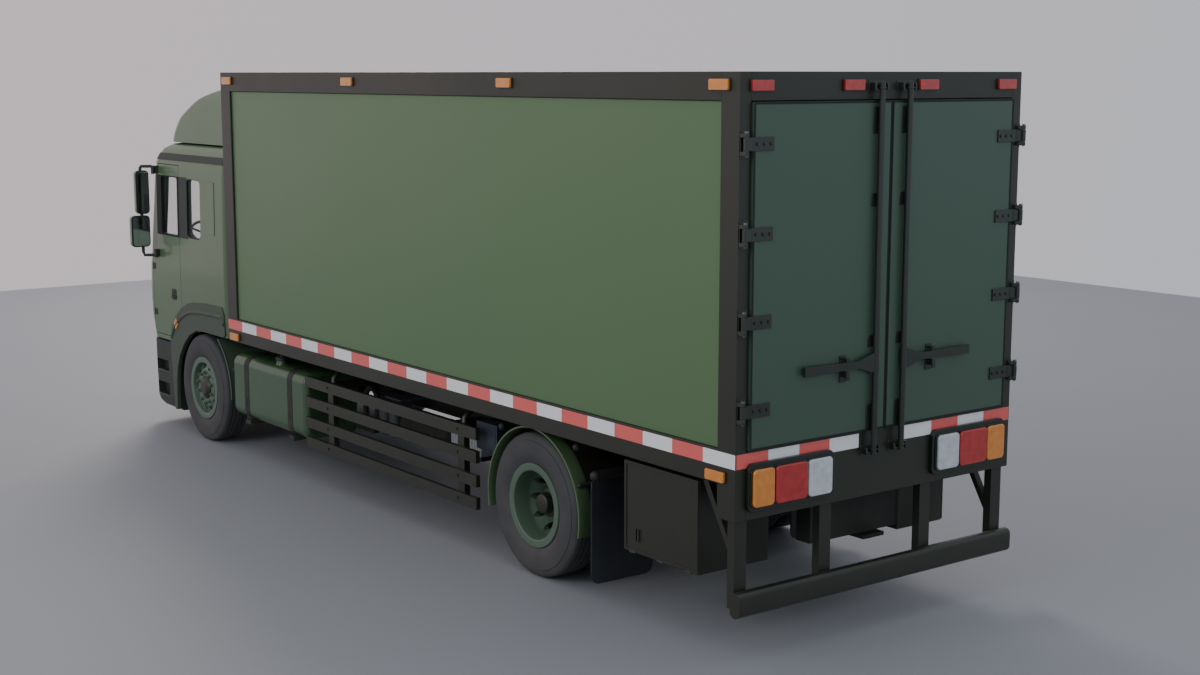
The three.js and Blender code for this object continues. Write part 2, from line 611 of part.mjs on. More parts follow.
piece('cab_shell', cabShell(), COLOURS.cabGreen, 0.4);

function cabDoor() {
  const skin = cut(cabSkin(CAB_HEIGHTS, 0), [cabSkin(CAB_HEIGHTS, CAB_DOOR.thick)]);
  const leaf = skin.intersect(prism('x', inset(CAB_DOOR.outline, CAB_DOOR.gap), [900, 1300]));
  const view = block([1000, 1300], [WINDOW.front, WINDOW.rear], [WINDOW.bottom, WINDOW.top]);
  const slotX = [CAB_DOOR.glassX[0] - 3, CAB_DOOR.glassX[1] + 3];
  const slot = block(slotX, [WINDOW.front - 20, WINDOW.rear + 16], [1490, WINDOW.top + 16]);
  const mounts = [2610, 1760].map((z) => block([1140, 1196], [MIRROR_AXIS.y - 24, MIRROR_AXIS.y + 24], [z - 22, z + 22]));
  return cut(leaf, [view, slot]).add(cut(mounts[0], [slot])).add(cut(mounts[1], [slot]));
}
pair('cab_door', cabDoor, COLOURS.cabGreen, 0.4);

const doorGlass = () => block(
  CAB_DOOR.glassX, [WINDOW.front - 18, WINDOW.rear + 14], [WINDOW.bottom - 20, WINDOW.top + 14],
);
pair('door_glass', doorGlass, COLOURS.glass, 0.1);

// A patch of the cab's outer skin between two depths, cut out by a box.
function skinPatch(depths, x, y, z) {
  const heights = [z[0] - 20, ...CAB_HEIGHTS.filter((h) => h > z[0] && h < z[1]), z[1] + 20];
  return cut(cabSkin(heights, depths[0]), [cabSkin(heights, depths[1])]).intersect(block(x, y, z));
}
piece('windscreen', skinPatch(
  [6, 18],
  [-SCREEN.half + SCREEN.gap, SCREEN.half - SCREEN.gap],
  [-9400, -8960],
  [SCREEN.bottom + SCREEN.gap, SCREEN.top - SCREEN.gap],
), COLOURS.glass, 0.1);
piece('grille_lid', skinPatch(
  [0, LID.thick],
  [-LID.half + LID.gap, LID.half - LID.gap],
  [-9400, -9160],
  [LID.bottom + LID.gap, LID.top - LID.gap],
), COLOURS.trimBlack, 0.5);

// Air deflector on the cab roof, open below and behind.
function roofDeflector() {
  const levels = [
    [2886, 1060, -8950], [3000, 1058, -8890], [3124, 1048, -8780], [3220, 1035, -8600],
    [3318, 1010, -8390], [3400, 965, -8030], [3450, 890, -7550],
  ];
  const rings = (rear, shrink, drop) => levels.map(([z, half, front]) => (
    planRing([z - drop, half, front, rear, 200, 20], shrink, 80)
  ));
  const outer = loft(rings(-7235, 0, 0));
  const hollow = loft(rings(-7100, 30, 30));
  return cut(outer, [hollow, block([-950, 950], [-8600, -7100], [2800, 2960])]);
}
piece('roof_deflector', roofDeflector(), COLOURS.cabGreen, 0.4);

// Two mirror heads on one bow of tube that turns in the door's two brackets.
function mirror() {
  const { x, y } = MIRROR_AXIS;
  const upper = prism('y', roundedRectangle([1250, 1390], [2160, 2600], 40), [-8990, -8900]);
  const lower = prism('y', roundedRectangle([1255, 1450], [1830, 2150], 60), [-8985, -8905]);
  const bow = [
    rod([x, y, 2650], [x, y, 2560], 19, 10),
    rod([x, y, 1805], [x, y, 1720], 19, 10),
    rod([x, y, 2640], [1325, -8940, 2655], 14, 8),
    rod([1325, -8940, 2665], [1325, -8940, 1760], 13, 8),
    rod([x, y, 1740], [1325, -8940, 1770], 14, 8),
  ];
  return join([upper, lower, ...bow]);
}
pair('mirror', mirror, COLOURS.mirror, 0.4);

function frontBumper() {
  const rings = (shrink) => [
    [180, 1120, -9230, -8550, 170, 10],
    [290, 1172, -9290, -8550, 200, 10],
    [866, 1176, -9300, -8550, 200, 10],
  ].map((level) => planRing(level, shrink));
  const hollow = loft([
    planRing([100, 1172, -9290, -8350, 200, 10], 110),
    planRing([1000, 1176, -9300, -8350, 200, 10], 110),
  ]);
  const step = (z) => block([1090, 1300], [-9080, -8770], z);
  const steps = [step([540, 665]), step([290, 430])];
  const bracket = block([RAIL.inner, RAIL.outer], [-9200, RAIL.front - GAP], [RAIL.bottom, 850]);
  const shell = cut(loft(rings(0)), [hollow, ...steps, ...steps.map(mirrored)]);
  return join([shell, bracket, mirrored(bracket)]);
}
piece('front_bumper', frontBumper(), COLOURS.trimBlack, 0.6);

// Steering wheel with its column; the axis leans back towards the driver.
const STEERING = { centre: [620, -8890, 1930], lean: 35, radius: 215 };
function steeringWheel() {
  const { centre, lean, radius } = STEERING;
  const wheel = new THREE.TorusGeometry(radius, 15, 5, 18);
  const bar = new THREE.BoxGeometry(2 * radius, 34, 14);
  const crossbar = new THREE.BoxGeometry(34, radius, 14).translate(0, -radius / 2, 0);
  const hub = new THREE.CylinderGeometry(60, 45, 60, 12).rotateX(Math.PI / 2);
  const column = new THREE.CylinderGeometry(25, 25, 330, 10).rotateX(Math.PI / 2).translate(0, 0, -180);
  return join([wheel, bar, crossbar, hub, column].map((geometry) => {
    geometry.rotateX(-THREE.MathUtils.degToRad(lean));
    geometry.translate(...centre);
    return solid(geometry);
  }));
}
piece('steering_wheel', steeringWheel(), COLOURS.rubber, 0.6);

function seat(x) {
  const across = (half) => [x - half, x + half];
  return join([
    block(across(180), [-8250, -7950], [FLOOR_CAB + 20, 1480]),
    block(across(240), [-8330, -7820], [1470, 1600]),
    prism('x', [[-7930, 1590], [-7800, 1590], [-7700, 2280], [-7780, 2280]], across(235)),
  ]);
}
piece('driver_seat', seat(760), COLOURS.seat, 0.9);

// Wipers park along the foot of the windscreen and pivot on the scuttle below it.
const WIPER = { y: -9330, z: 1700, pivots: { left: 820, right: -60 }, reach: 700 };
function wiper(x) {
  const { y } = WIPER;
  return join([
    rod([x, y - 12, WIPER.z], [x, y + 16, WIPER.z], 20, 8),
    block([x - WIPER.reach, x], [y - 8, y + 4], [WIPER.z - 8, WIPER.z + 8]),
    block([x - WIPER.reach - 60, x - 120], [y - 4, y + 12], [WIPER.z + 6, WIPER.z + 20]),
  ]);
}
for (const [side, x] of Object.entries(WIPER.pivots)) piece(`wiper_${side}`, wiper(x), COLOURS.trimBlack, 0.5);

export default truck;
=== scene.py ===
"""Looks of a mail delivery lorry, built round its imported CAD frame. Metres, +Z up, nose along -Y."""
import json
import math

import bmesh
import bpy
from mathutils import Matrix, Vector


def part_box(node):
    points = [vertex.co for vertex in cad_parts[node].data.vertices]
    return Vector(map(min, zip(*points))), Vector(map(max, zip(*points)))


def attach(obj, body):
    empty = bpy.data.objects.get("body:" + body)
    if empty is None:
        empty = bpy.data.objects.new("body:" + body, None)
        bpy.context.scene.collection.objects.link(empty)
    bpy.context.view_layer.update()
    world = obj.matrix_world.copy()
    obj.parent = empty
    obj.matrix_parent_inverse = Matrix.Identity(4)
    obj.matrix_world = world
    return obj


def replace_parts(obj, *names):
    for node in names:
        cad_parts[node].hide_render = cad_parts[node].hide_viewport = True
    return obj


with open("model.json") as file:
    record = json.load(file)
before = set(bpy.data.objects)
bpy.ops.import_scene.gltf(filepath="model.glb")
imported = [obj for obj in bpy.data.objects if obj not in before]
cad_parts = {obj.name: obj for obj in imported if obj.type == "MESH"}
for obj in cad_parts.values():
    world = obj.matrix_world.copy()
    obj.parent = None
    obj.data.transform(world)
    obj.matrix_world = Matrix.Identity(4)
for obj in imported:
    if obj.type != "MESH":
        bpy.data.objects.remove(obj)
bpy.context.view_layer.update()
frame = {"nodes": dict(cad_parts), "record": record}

NODES = frame["nodes"]
RECORD = frame["record"]
BODY_OF = {node: body for body, nodes in RECORD["behaviour"]["bodies"].items() for node in nodes}
SLOT_OF = {part["node"]: part["material_slot"] for part in RECORD["subparts"]}
SIDES = (("left", 1), ("right", -1))
GAP = 0.0003
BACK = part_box("tail_lamp_left")[0].y - GAP  # rear face of the cargo box: every y below is measured from it


def rgb(red, green, blue):
    """A linear colour from 0-255 screen values."""
    values = (red / 255, green / 255, blue / 255)
    return tuple(v / 12.92 if v < 0.04045 else ((v + 0.055) / 1.055) ** 2.4 for v in values)


# ---- materials ----
class Look:
    """One procedural material: clouded tint, dust towards the ground, uneven gloss and a fine grain."""

    def __init__(self, name, colour, rough=0.45, **extra):
        self.name = name
        material = bpy.data.materials.new(name)
        material.use_nodes = True
        self.material = material
        self.tree = material.node_tree
        self.shader = self.tree.nodes["Principled BSDF"]
        self.coords = self.add("ShaderNodeTexCoord").outputs["Object"]
        spread = extra.get("spread", 0.08)
        cloud = self.noise(extra.get("scale", 1.3), 5.0)
        dark = tuple(c * (1 - spread) for c in colour)
        light = tuple(min(c * (1 + spread), 1.0) for c in colour)
        tint = self.mix(cloud, dark, light)
        if extra.get("dust"):
            tint = self.mix(self.dust(extra["dust"]), tint, rgb(112, 108, 98))
        self.tint = tint
        self.join(tint, self.shader.inputs["Base Color"])
        gloss = self.spread(cloud, (0.3, 0.7), (max(rough - 0.05, 0.0), rough + 0.07))
        self.join(gloss, self.shader.inputs["Roughness"])
        self.bump(self.noise(extra.get("grain", 260), 2.0), extra.get("bump", 0.08), 0.001)
        for key, socket, usual in (
                ("metal", "Metallic", 0.0), ("coat", "Coat Weight", 0.0), ("sheen", "Sheen Weight", 0.0),
                ("coat_rough", "Coat Roughness", 0.12), ("alpha", "Alpha", 1.0)):
            self.shader.inputs[socket].default_value = extra.get(key, usual)
        self.shader.inputs["IOR"].default_value = 1.5

    def add(self, kind, **inputs):
        node = self.tree.nodes.new(kind)
        for key, value in inputs.items():
            node.inputs[key].default_value = value
        return node

    def join(self, value, socket):
        if isinstance(value, bpy.types.NodeSocket):
            self.tree.links.new(value, socket)
        else:
            socket.default_value = (*value, 1.0) if isinstance(value, tuple) else value

    def noise(self, scale, detail):
        node = self.add("ShaderNodeTexNoise", Scale=scale, Detail=detail)
        self.join(self.coords, node.inputs["Vector"])
        return node.outputs["Fac"]

    def mix(self, factor, a, b):
        node = self.add("ShaderNodeMix")
        node.data_type = "RGBA"
        for socket, value in ((node.inputs["Factor"], factor), (node.inputs[6], a), (node.inputs[7], b)):
            self.join(value, socket)
        return node.outputs[2]

    def spread(self, value, source, target):
        node = self.add("ShaderNodeMapRange")
        self.join(value, node.inputs["Value"])
        for key, number in zip(("From Min", "From Max", "To Min", "To Max"), (*source, *target)):
            node.inputs[key].default_value = number
        return node.outputs["Result"]

    def times(self, a, b):
        node = self.add("ShaderNodeMath")
        node.operation = "MULTIPLY"
        self.join(a, node.inputs[0])
        self.join(b, node.inputs[1])
        return node.outputs[0]

    def dust(self, amount):
        split = self.add("ShaderNodeSeparateXYZ")
        self.join(self.coords, split.inputs["Vector"])
        low = self.spread(split.outputs["Z"], (0.0, 1.3), (amount, 0.0))
        return self.times(low, self.spread(self.noise(6.0, 6.0), (0.35, 0.7), (0.25, 1.0)))

    def bump(self, height, strength, depth):
        node = self.add("ShaderNodeBump", Strength=strength, Distance=depth)
        self.join(height, node.inputs["Height"])
        before = self.shader.inputs["Normal"]
        if before.links:
            self.join(before.links[0].from_socket, node.inputs["Normal"])
        self.join(node.outputs["Normal"], before)

    def waves(self, scale, axis):
        node = self.add("ShaderNodeTexWave", Scale=scale)
        node.bands_direction = axis
        self.join(self.coords, node.inputs["Vector"])
        return node.outputs["Fac"]

    def cells(self, scale):
        node = self.add("ShaderNodeTexVoronoi", Scale=scale)
        node.feature = "DISTANCE_TO_EDGE"
        self.join(self.coords, node.inputs["Vector"])
        return node.outputs["Distance"]


LOOKS = {look.name: look for look in (
    Look("panel_green", rgb(84, 114, 74), 0.42, coat=0.35, coat_rough=0.3, spread=0.05, scale=0.5),
    Look("frame_green", rgb(35, 38, 27), 0.45, coat=0.25, coat_rough=0.3, spread=0.1, dust=0.05),
    Look("cab_green", rgb(84, 108, 74), 0.36, coat=0.5, coat_rough=0.15, spread=0.05, dust=0.1),
    Look("door_green", rgb(62, 86, 70), 0.45, coat=0.3, coat_rough=0.3, spread=0.06, scale=0.6),
    Look("chassis_black", rgb(34, 36, 32), 0.6, spread=0.2, scale=4.0, dust=0.2, bump=0.25),
    Look("trim_black", rgb(44, 50, 44), 0.5, spread=0.1, grain=420, bump=0.3, dust=0.1),
    Look("lock_black", rgb(36, 42, 36), 0.35, coat=0.3, spread=0.12, scale=8.0, bump=0.15),
    Look("tyre_rubber", rgb(62, 62, 66), 0.72, spread=0.12, scale=5.0, grain=340, bump=0.35, dust=0.3),
    Look("wheel_green", rgb(84, 106, 88), 0.36, metal=0.1, coat=0.3, spread=0.12, scale=6.0, dust=0.15),
    Look("flap_rubber", rgb(26, 30, 38), 0.55, spread=0.15, scale=6.0, dust=0.12),
    Look("seat_fabric", rgb(52, 54, 60), 0.85, sheen=0.3, spread=0.15, scale=30.0),
    Look("engine_iron", rgb(98, 102, 98), 0.5, metal=0.35, spread=0.18, scale=5.0, grain=90, bump=0.4),
    Look("glass", rgb(120, 136, 130), 0.04, alpha=0.08, spread=0.03, bump=0.0),
    Look("lamp", rgb(24, 30, 22), 0.4, coat=0.4, spread=0.1),
)}


def lens(name, colour, glow):
    """Moulded lamp lens: mottled colour behind a hard gloss, with square optics pressed in."""
    look = Look(name, colour, 0.16, coat=1.0, coat_rough=0.05, spread=0.28, scale=16.0, bump=0.05)
    look.join(look.mix(look.noise(24.0, 3.0), look.tint, glow), look.shader.inputs["Base Color"])
    look.bump(look.waves(60.0, "X"), 0.12, 0.001)
    look.bump(look.waves(60.0, "Z"), 0.12, 0.001)
    return look


def tape(name, colour):
    """Reflective tape: glossy film over a fine honeycomb."""
    look = Look(name, colour, 0.3, coat=0.6, coat_rough=0.1, spread=0.05, scale=3.0)
    comb = look.spread(look.cells(260.0), (0.0, 0.12), (0.0, 1.0))
    look.join(look.mix(comb, tuple(0.82 * c for c in colour), look.tint), look.shader.inputs["Base Color"])
    look.bump(comb, 0.15, 0.0004)
    return look


LOOKS.update({
    "amber": lens("amber_lens", rgb(214, 118, 34), rgb(240, 158, 66)),
    "red": lens("red_lens", rgb(150, 22, 28), rgb(214, 50, 44)),
    "white": lens("white_lens", rgb(178, 184, 190), rgb(226, 230, 234)),
    "tape_red": tape("tape_red", rgb(240, 104, 98)),
    "tape_white": tape("tape_white", rgb(246, 246, 248)),
    "arch_green": Look("arch_green", rgb(70, 80, 68), 0.5, spread=0.08, grain=420, bump=0.25, dust=0.08),
    "tank_green": Look("tank_green", rgb(54, 84, 52), 0.3, coat=0.35, coat_rough=0.15, spread=0.06, dust=0.1),
    "guard_green": Look("guard_green", rgb(66, 84, 66), 0.5, spread=0.1, dust=0.2),
    "mirror_glass": Look("mirror_glass", rgb(200, 206, 208), 0.02, metal=1.0, spread=0.02, bump=0.0),
    "steel": Look("zinc_steel", rgb(128, 130, 128), 0.38, metal=0.9, spread=0.12, scale=12.0, bump=0.15),
    "case_white": Look("battery_case", rgb(196, 200, 204), 0.45, spread=0.06, scale=6.0, dust=0.15),
    "case_grey": Look("filter_case", rgb(96, 100, 104), 0.4, metal=0.3, spread=0.1, scale=6.0, dust=0.15),
    "case_blue": Look("box_blue", rgb(48, 56, 66), 0.45, spread=0.12, scale=5.0, dust=0.1),
    "dark_box": Look("dark_box", rgb(34, 30, 28), 0.5, spread=0.15, scale=4.0, dust=0.1),
    "seal": Look("rubber_seal", rgb(20, 22, 21), 0.6, spread=0.1, grain=500, bump=0.1),
    "lining": Look("cab_lining", rgb(84, 86, 88), 0.75, spread=0.08, scale=20.0, grain=500, bump=0.4),
})
weave = LOOKS["seat_fabric"]
weave.bump(weave.times(weave.waves(210.0, "X"), weave.waves(210.0, "Z")), 0.4, 0.002)
flap = LOOKS["flap_rubber"]
flap.bump(flap.waves(26.0, "DIAGONAL"), 0.5, 0.003)


# ---- solids ----
SHARP_EDGE = math.radians(28)


def round_edges(bm, width, steps):
    """Rounds every edge that turns more than SHARP_EDGE."""
    edges = [e for e in bm.edges if e.is_manifold and e.calc_face_angle(0.0) > SHARP_EDGE]
    bmesh.ops.bevel(
        bm, geom=edges, offset=width, offset_type="OFFSET", segments=steps, profile=0.6,
        affect="EDGES", clamp_overlap=True,
    )


def shown(name, bm, body, slot, look=None, sharp=40):
    """Makes a piece of a finished mesh, on its body, with the material of its look, or of its slot when no
    look is given.
    """
    bmesh.ops.recalc_face_normals(bm, faces=bm.faces)
    mesh = bpy.data.meshes.new(name)
    bm.to_mesh(mesh)
    bm.free()
    mesh.shade_smooth()
    mesh.set_sharp_from_angle(angle=math.radians(sharp))
    mesh.materials.append(LOOKS[look or slot].material)
    piece = bpy.data.objects.new(name, mesh)
    bpy.context.scene.collection.objects.link(piece)
    weighted = piece.modifiers.new("even_shading", "WEIGHTED_NORMAL")
    weighted.keep_sharp = True
    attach(piece, body)
    return piece


def spin_ring(points, axis_point, angle):
    """Profile (x, radius) points turned by an angle round an axle along X."""
    y, z = axis_point
    return [(x, y + r * math.sin(angle), z + r * math.cos(angle)) for x, r in points]


def oval(centre, normal, radius, sides, up=Vector((0.3, 0.2, 1.0))):
    """Ring of points round a centre, square to a direction."""
    across = normal.cross(up).normalized()
    over = across.cross(normal).normalized()
    turns = [2 * math.pi * i / sides for i in range(sides)]
    return [centre + radius * (math.cos(t) * across + math.sin(t) * over) for t in turns]


def rounded(a, b, radius, steps=5):
    """Outline of a rectangle with round corners."""
    corners = ((a[1], b[1], 0, -1, -1), (a[0], b[1], 90, 1, -1),
               (a[0], b[0], 180, 1, 1), (a[1], b[0], 270, -1, 1))
    outline = []
    for ca, cb, start, sa, sb in corners:
        for i in range(steps + 1):
            t = math.radians(start + 90 * i / steps)
            outline.append((ca + sa * radius + radius * math.cos(t), cb + sb * radius + radius * math.sin(t)))
    return outline


def arc(centre, radius, start, end, steps):
    """Points on a circle in (y, z) from one angle to another."""
    angles = [math.radians(start + (end - start) * i / steps) for i in range(steps + 1)]
    return [(centre[0] + radius * math.cos(t), centre[1] + radius * math.sin(t)) for t in angles]


class Form:
    """Closed solids gathered into one mesh. The right side is the left one with x turned over."""

    def __init__(self, side=1):
        self.bm = bmesh.new()
        self.side = side

    def skin(self, rings, round_again=False):
        rows = [[self.bm.verts.new((p[0] * self.side, p[1], p[2])) for p in ring] for ring in rings]
        count = len(rows[0])
        for a, b in zip(rows, rows[1:] + (rows[:1] if round_again else [])):
            for i in range(count):
                j = (i + 1) % count
                self.bm.faces.new((a[i], a[j], b[j], b[i]))
        if not round_again:
            self.bm.faces.new(rows[0])
            self.bm.faces.new(rows[-1])
        return self

    def slab(self, x, y, z):
        return self.prism("z", [(x[0], y[0]), (x[1], y[0]), (x[1], y[1]), (x[0], y[1])], z)

    def prism(self, axis, outline, span):
        at = "xyz".index(axis)
        return self.skin([[(*point[:at], t, *point[at:]) for point in outline] for t in span])

    def rod(self, start, end, radius, top=None, sides=20):
        start, end = Vector(start), Vector(end)
        normal = (end - start).normalized()
        top = radius if top is None else top
        return self.skin([oval(start, normal, radius, sides), oval(end, normal, top, sides)])

    def tube(self, points, radius, sides=12):
        points = [Vector(p) for p in points]
        rings = []
        for i, point in enumerate(points):
            ahead = points[min(i + 1, len(points) - 1)] - points[max(i - 1, 0)]
            rings.append(oval(point, ahead.normalized(), radius, sides))
        return self.skin(rings)

    def turned(self, profile, centre, steps=72):
        """A closed (x, radius) profile turned about an axle; centre is (y, z)."""
        angles = [2 * math.pi * i / steps for i in range(steps)]
        return self.skin([spin_ring(profile, centre, t) for t in angles], round_again=True)

    def swept(self, section, centre, start, end, steps):
        """An (x, radius) section carried round an axle from one angle to another, in the (y, z) plane."""
        rings = []
        for i in range(steps + 1):
            t = math.radians(start + (end - start) * i / steps)
            rings.append([(x, centre[0] + r * math.cos(t), centre[1] + r * math.sin(t)) for x, r in section])
        return self.skin(rings)

    def ball(self, centre, radius, steps=8):
        """A round end, as rings along x."""
        rings = []
        for i in range(steps + 1):
            t = math.pi * (0.04 + 0.92 * i / steps)
            middle_x = centre[0] - radius * math.cos(t)
            rings.append(oval(Vector((middle_x, *centre[1:])), Vector((1, 0, 0)), radius * math.sin(t), 20))
        return self.skin(rings)

    def boolean(self, cutters, operation="DIFFERENCE"):
        """Cuts the form by others, or keeps what it shares with them."""
        base = self.loose()
        tools = [cutter.loose() for cutter in cutters]
        for tool in tools:
            modifier = base.modifiers.new("cut", "BOOLEAN")
            modifier.operation = operation
            modifier.solver = "EXACT"
            modifier.object = tool
        result = Form(1)
        evaluated = base.evaluated_get(bpy.context.evaluated_depsgraph_get())
        result.bm.from_mesh(evaluated.to_mesh())
        evaluated.to_mesh_clear()
        for thing in (base, *tools):
            bpy.data.objects.remove(thing)
        return result

    def loose(self):
        bmesh.ops.recalc_face_normals(self.bm, faces=self.bm.faces)
        mesh = bpy.data.meshes.new("loose")
        self.bm.to_mesh(mesh)
        thing = bpy.data.objects.new("loose", mesh)
        bpy.context.scene.collection.objects.link(thing)
        return thing

    def piece(self, name, body, slot, look=None, bevel=0.0, steps=2, sharp=40, clean=False):
        bmesh.ops.recalc_face_normals(self.bm, faces=self.bm.faces)
        if clean:
            bmesh.ops.remove_doubles(self.bm, verts=self.bm.verts, dist=1e-5)
            bmesh.ops.dissolve_limit(
                self.bm, angle_limit=math.radians(0.6), verts=self.bm.verts, edges=self.bm.edges,
            )
        if bevel:
            round_edges(self.bm, bevel, steps)
        bmesh.ops.translate(self.bm, verts=self.bm.verts, vec=(0.0, BACK, 0.0))
        return shown(name, self.bm, body, slot, look, sharp)

    def stands_for(self, node, slot=None, look=None, **finish):
        """Shows the form in place of a CAD node, on the node's body."""
        piece = self.piece(f"{node}_shown", BODY_OF[node], slot or SLOT_OF[node], look, **finish)
        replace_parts(piece, node)


def dressed(node, bevel, steps=2):
    """A CAD node's own solid with welded faces and rounded edges, shown in its place."""
    bm = bmesh.new()
    bm.from_mesh(NODES[node].data)
    bmesh.ops.remove_doubles(bm, verts=bm.verts, dist=2e-5)
    bmesh.ops.dissolve_limit(bm, angle_limit=math.radians(0.6), verts=bm.verts, edges=bm.edges)
    round_edges(bm, bevel, steps)
    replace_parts(shown(f"{node}_shown", bm, BODY_OF[node], SLOT_OF[node]), node)


for node, thing in NODES.items():
    thing.data.materials.clear()
    thing.data.materials.append(LOOKS[SLOT_OF[node]].material)


# ---- wheels ----
AXLE_Z = (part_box("tyre_rear_outer_left")[0].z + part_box("tyre_rear_outer_left")[1].z) / 2
TYRE_RADIUS = 0.5218
HAND_HOLES = 10
NUT_RING = 0.150


def middle(node):
    """Middle of a node across x and along y, with y from the box's rear face."""
    low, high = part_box(node)
    return abs(low.x + high.x) / 2, (low.y + high.y) / 2 - BACK


def tyre_profile(centre):
    groove, depth = 0.0055, 0.009
    half = [(0.006, TYRE_RADIUS)]
    for x in (0.022, 0.058):
        half += [(x - groove, TYRE_RADIUS), (x - groove, TYRE_RADIUS - depth)]
        half += [(x + groove, TYRE_RADIUS - depth), (x + groove, TYRE_RADIUS)]
    half += [(0.092, 0.5205), (0.106, 0.514), (0.117, 0.500), (0.126, 0.478), (0.1275, 0.470), (0.133, 0.468)]
    half += [(0.138, 0.440), (0.1398, 0.405), (0.138, 0.370), (0.133, 0.346), (0.129, 0.343), (0.124, 0.318)]
    half += [(0.114, 0.309), (0.110, 0.290), (0.108, 0.262)]
    profile = half + [(-x, r) for x, r in reversed(half)]
    return [(centre + x, r) for x, r in profile]


def rim_form(side, y, profile, hole_ring, hole_x, radius=0.029):
    """Barrel and disc with a ring of round hand holes."""
    disc = Form(side).turned(profile, (y, AXLE_Z), 90)
    drill = Form(side)
    for i in range(HAND_HOLES):
        t = 2 * math.pi * (i + 0.5) / HAND_HOLES
        hole_y, hole_z = y + hole_ring * math.sin(t), AXLE_Z + hole_ring * math.cos(t)
        drill.rod((hole_x[0], hole_y, hole_z), (hole_x[1], hole_y, hole_z), radius, sides=24)
    return disc.boolean([drill])


def wheel_nuts(side, y, x, tip, ring=NUT_RING):
    """Ten hexagon nuts on their studs, each on a round washer."""
    form = Form(side)
    for i in range(HAND_HOLES):
        t = 2 * math.pi * i / HAND_HOLES
        nut_y, nut_z = y + ring * math.sin(t), AXLE_Z + ring * math.cos(t)
        form.rod((x - 0.004, nut_y, nut_z), (x + 0.005, nut_y, nut_z), 0.023, sides=16)
        form.rod((x + 0.005, nut_y, nut_z), (x + tip, nut_y, nut_z), 0.0165, sides=6)
        form.rod((x + tip, nut_y, nut_z), (x + tip + 0.012, nut_y, nut_z), 0.009, sides=10)
    return form


FRONT_DISC = [
    (0.930, 0.2575), (1.150, 0.2575), (1.172, 0.262), (1.174, 0.300), (1.180, 0.307), (1.187, 0.303),
    (1.188, 0.262), (1.182, 0.250), (1.146, 0.243), (1.136, 0.236), (1.138, 0.222), (1.148, 0.200),
    (1.159, 0.184), (1.163, 0.172), (1.163, 0.112), (1.157, 0.108), (1.110, 0.108), (1.124, 0.200),
    (1.112, 0.236), (0.940, 0.246), (0.928, 0.258),
]
REAR_DISC = [
    (0.600, 0.2575), (1.150, 0.2575), (1.172, 0.262), (1.174, 0.300), (1.180, 0.307), (1.187, 0.303),
    (1.188, 0.262), (1.182, 0.250), (1.150, 0.246), (1.072, 0.242), (1.045, 0.234), (1.006, 0.208),
    (0.966, 0.186), (0.946, 0.174), (0.940, 0.162), (0.940, 0.112), (0.924, 0.110), (0.924, 0.168),
    (0.950, 0.196), (0.992, 0.224), (1.000, 0.244), (0.610, 0.246),
]
for name, side in SIDES:
    for axle, nodes in (("front", ("tyre_front",)), ("rear", ("tyre_rear_outer", "tyre_rear_inner"))):
        body = f"wheel_{axle}_{name}"
        for node in nodes:
            x, y = middle(f"{node}_{name}")
            tyre = Form(side).turned(tyre_profile(x), (y, AXLE_Z), 120)
            tyre.stands_for(f"{node}_{name}", sharp=50)
        if axle == "front":
            rim = rim_form(side, y, FRONT_DISC, 0.212, (1.05, 1.19))
            nuts = wheel_nuts(side, y, 1.163, 0.022)
            hub = [(1.10, 0.0001), (1.10, 0.104), (1.166, 0.104), (1.172, 0.096), (1.180, 0.088),
                   (1.192, 0.070), (1.195, 0.055), (1.195, 0.0001)]
            dark = [(0.99, 0.0001), (0.99, 0.200), (1.075, 0.200), (1.075, 0.0001)]
        else:
            rim = rim_form(side, y, REAR_DISC, 0.208, (0.90, 1.06), 0.026)
            nuts = wheel_nuts(side, y, 0.940, 0.026, 0.140)
            hub = [(0.860, 0.0001), (0.860, 0.106), (0.970, 0.104), (1.020, 0.100), (1.030, 0.092),
                   (1.034, 0.106), (1.050, 0.108), (1.056, 0.100), (1.060, 0.078), (1.112, 0.070),
                   (1.120, 0.060), (1.122, 0.0001)]
            dark = [(0.74, 0.0001), (0.74, 0.205), (0.86, 0.205), (0.86, 0.0001)]
        rim.stands_for(f"rim_{axle}_{name}", sharp=30)
        nuts.piece(f"wheel_nuts_{axle}_{name}", body, "wheel_green", bevel=0.0015, steps=1)
        cap = Form(side).turned(hub, (y, AXLE_Z), 48)
        cap.piece(f"hub_{axle}_{name}", body, "wheel_green", "frame_green")
        drum = Form(side).turned(dark, (y, AXLE_Z), 48)
        drum.piece(f"brake_drum_{axle}_{name}", body, "chassis_black", bevel=0.01)


# ---- cargo box ----
for name, side in SIDES:
    for node in (f"side_frame_{name}", f"side_panel_{name}"):
        dressed(node, 0.005)
for node, bevel in (("front_wall", 0.005), ("roof_panel", 0.005), ("box_floor", 0.003)):
    dressed(node, bevel)
HINGE_Z = (1.560, 2.095, 2.620, 3.150)
PORTAL_X, PORTAL_Y = (-1.1605, 1.1605), (-0.165, 0.0)
portal = Form().slab(PORTAL_X, PORTAL_Y, (3.400, 3.570)).slab(PORTAL_X, PORTAL_Y, (0.885, 1.310))
for name, side in SIDES:
    portal.slab((side * 1.160, side * 1.250), PORTAL_Y, (0.885, 3.570))
    lugs = Form(side)
    for z in HINGE_Z:
        for low, high in ((z + 0.040, z + 0.066), (z - 0.066, z - 0.040)):
            nose = [(1.235 + 0.014 * math.cos(t), 0.045 + 0.014 * math.sin(t)) for t in
                    [math.radians(a) for a in range(0, 181, 30)]]
            lugs.prism("z", [(1.195, -0.001), (1.247, -0.001), *nose, (1.205, 0.030)], (low, high))
    for z in (1.190, 3.480):
        for x in (0.071, 0.179):
            lugs.slab((x - 0.008, x + 0.008), (-0.001, 0.050), (z - 0.022, z + 0.022))
        lugs.slab((0.055, 0.195), (-0.0005, 0.006), (z - 0.034, z + 0.034))
    lugs.piece(f"hinge_lugs_{name}", "chassis", "lock_black", bevel=0.002, steps=1)
portal.stands_for("rear_frame", bevel=0.005)

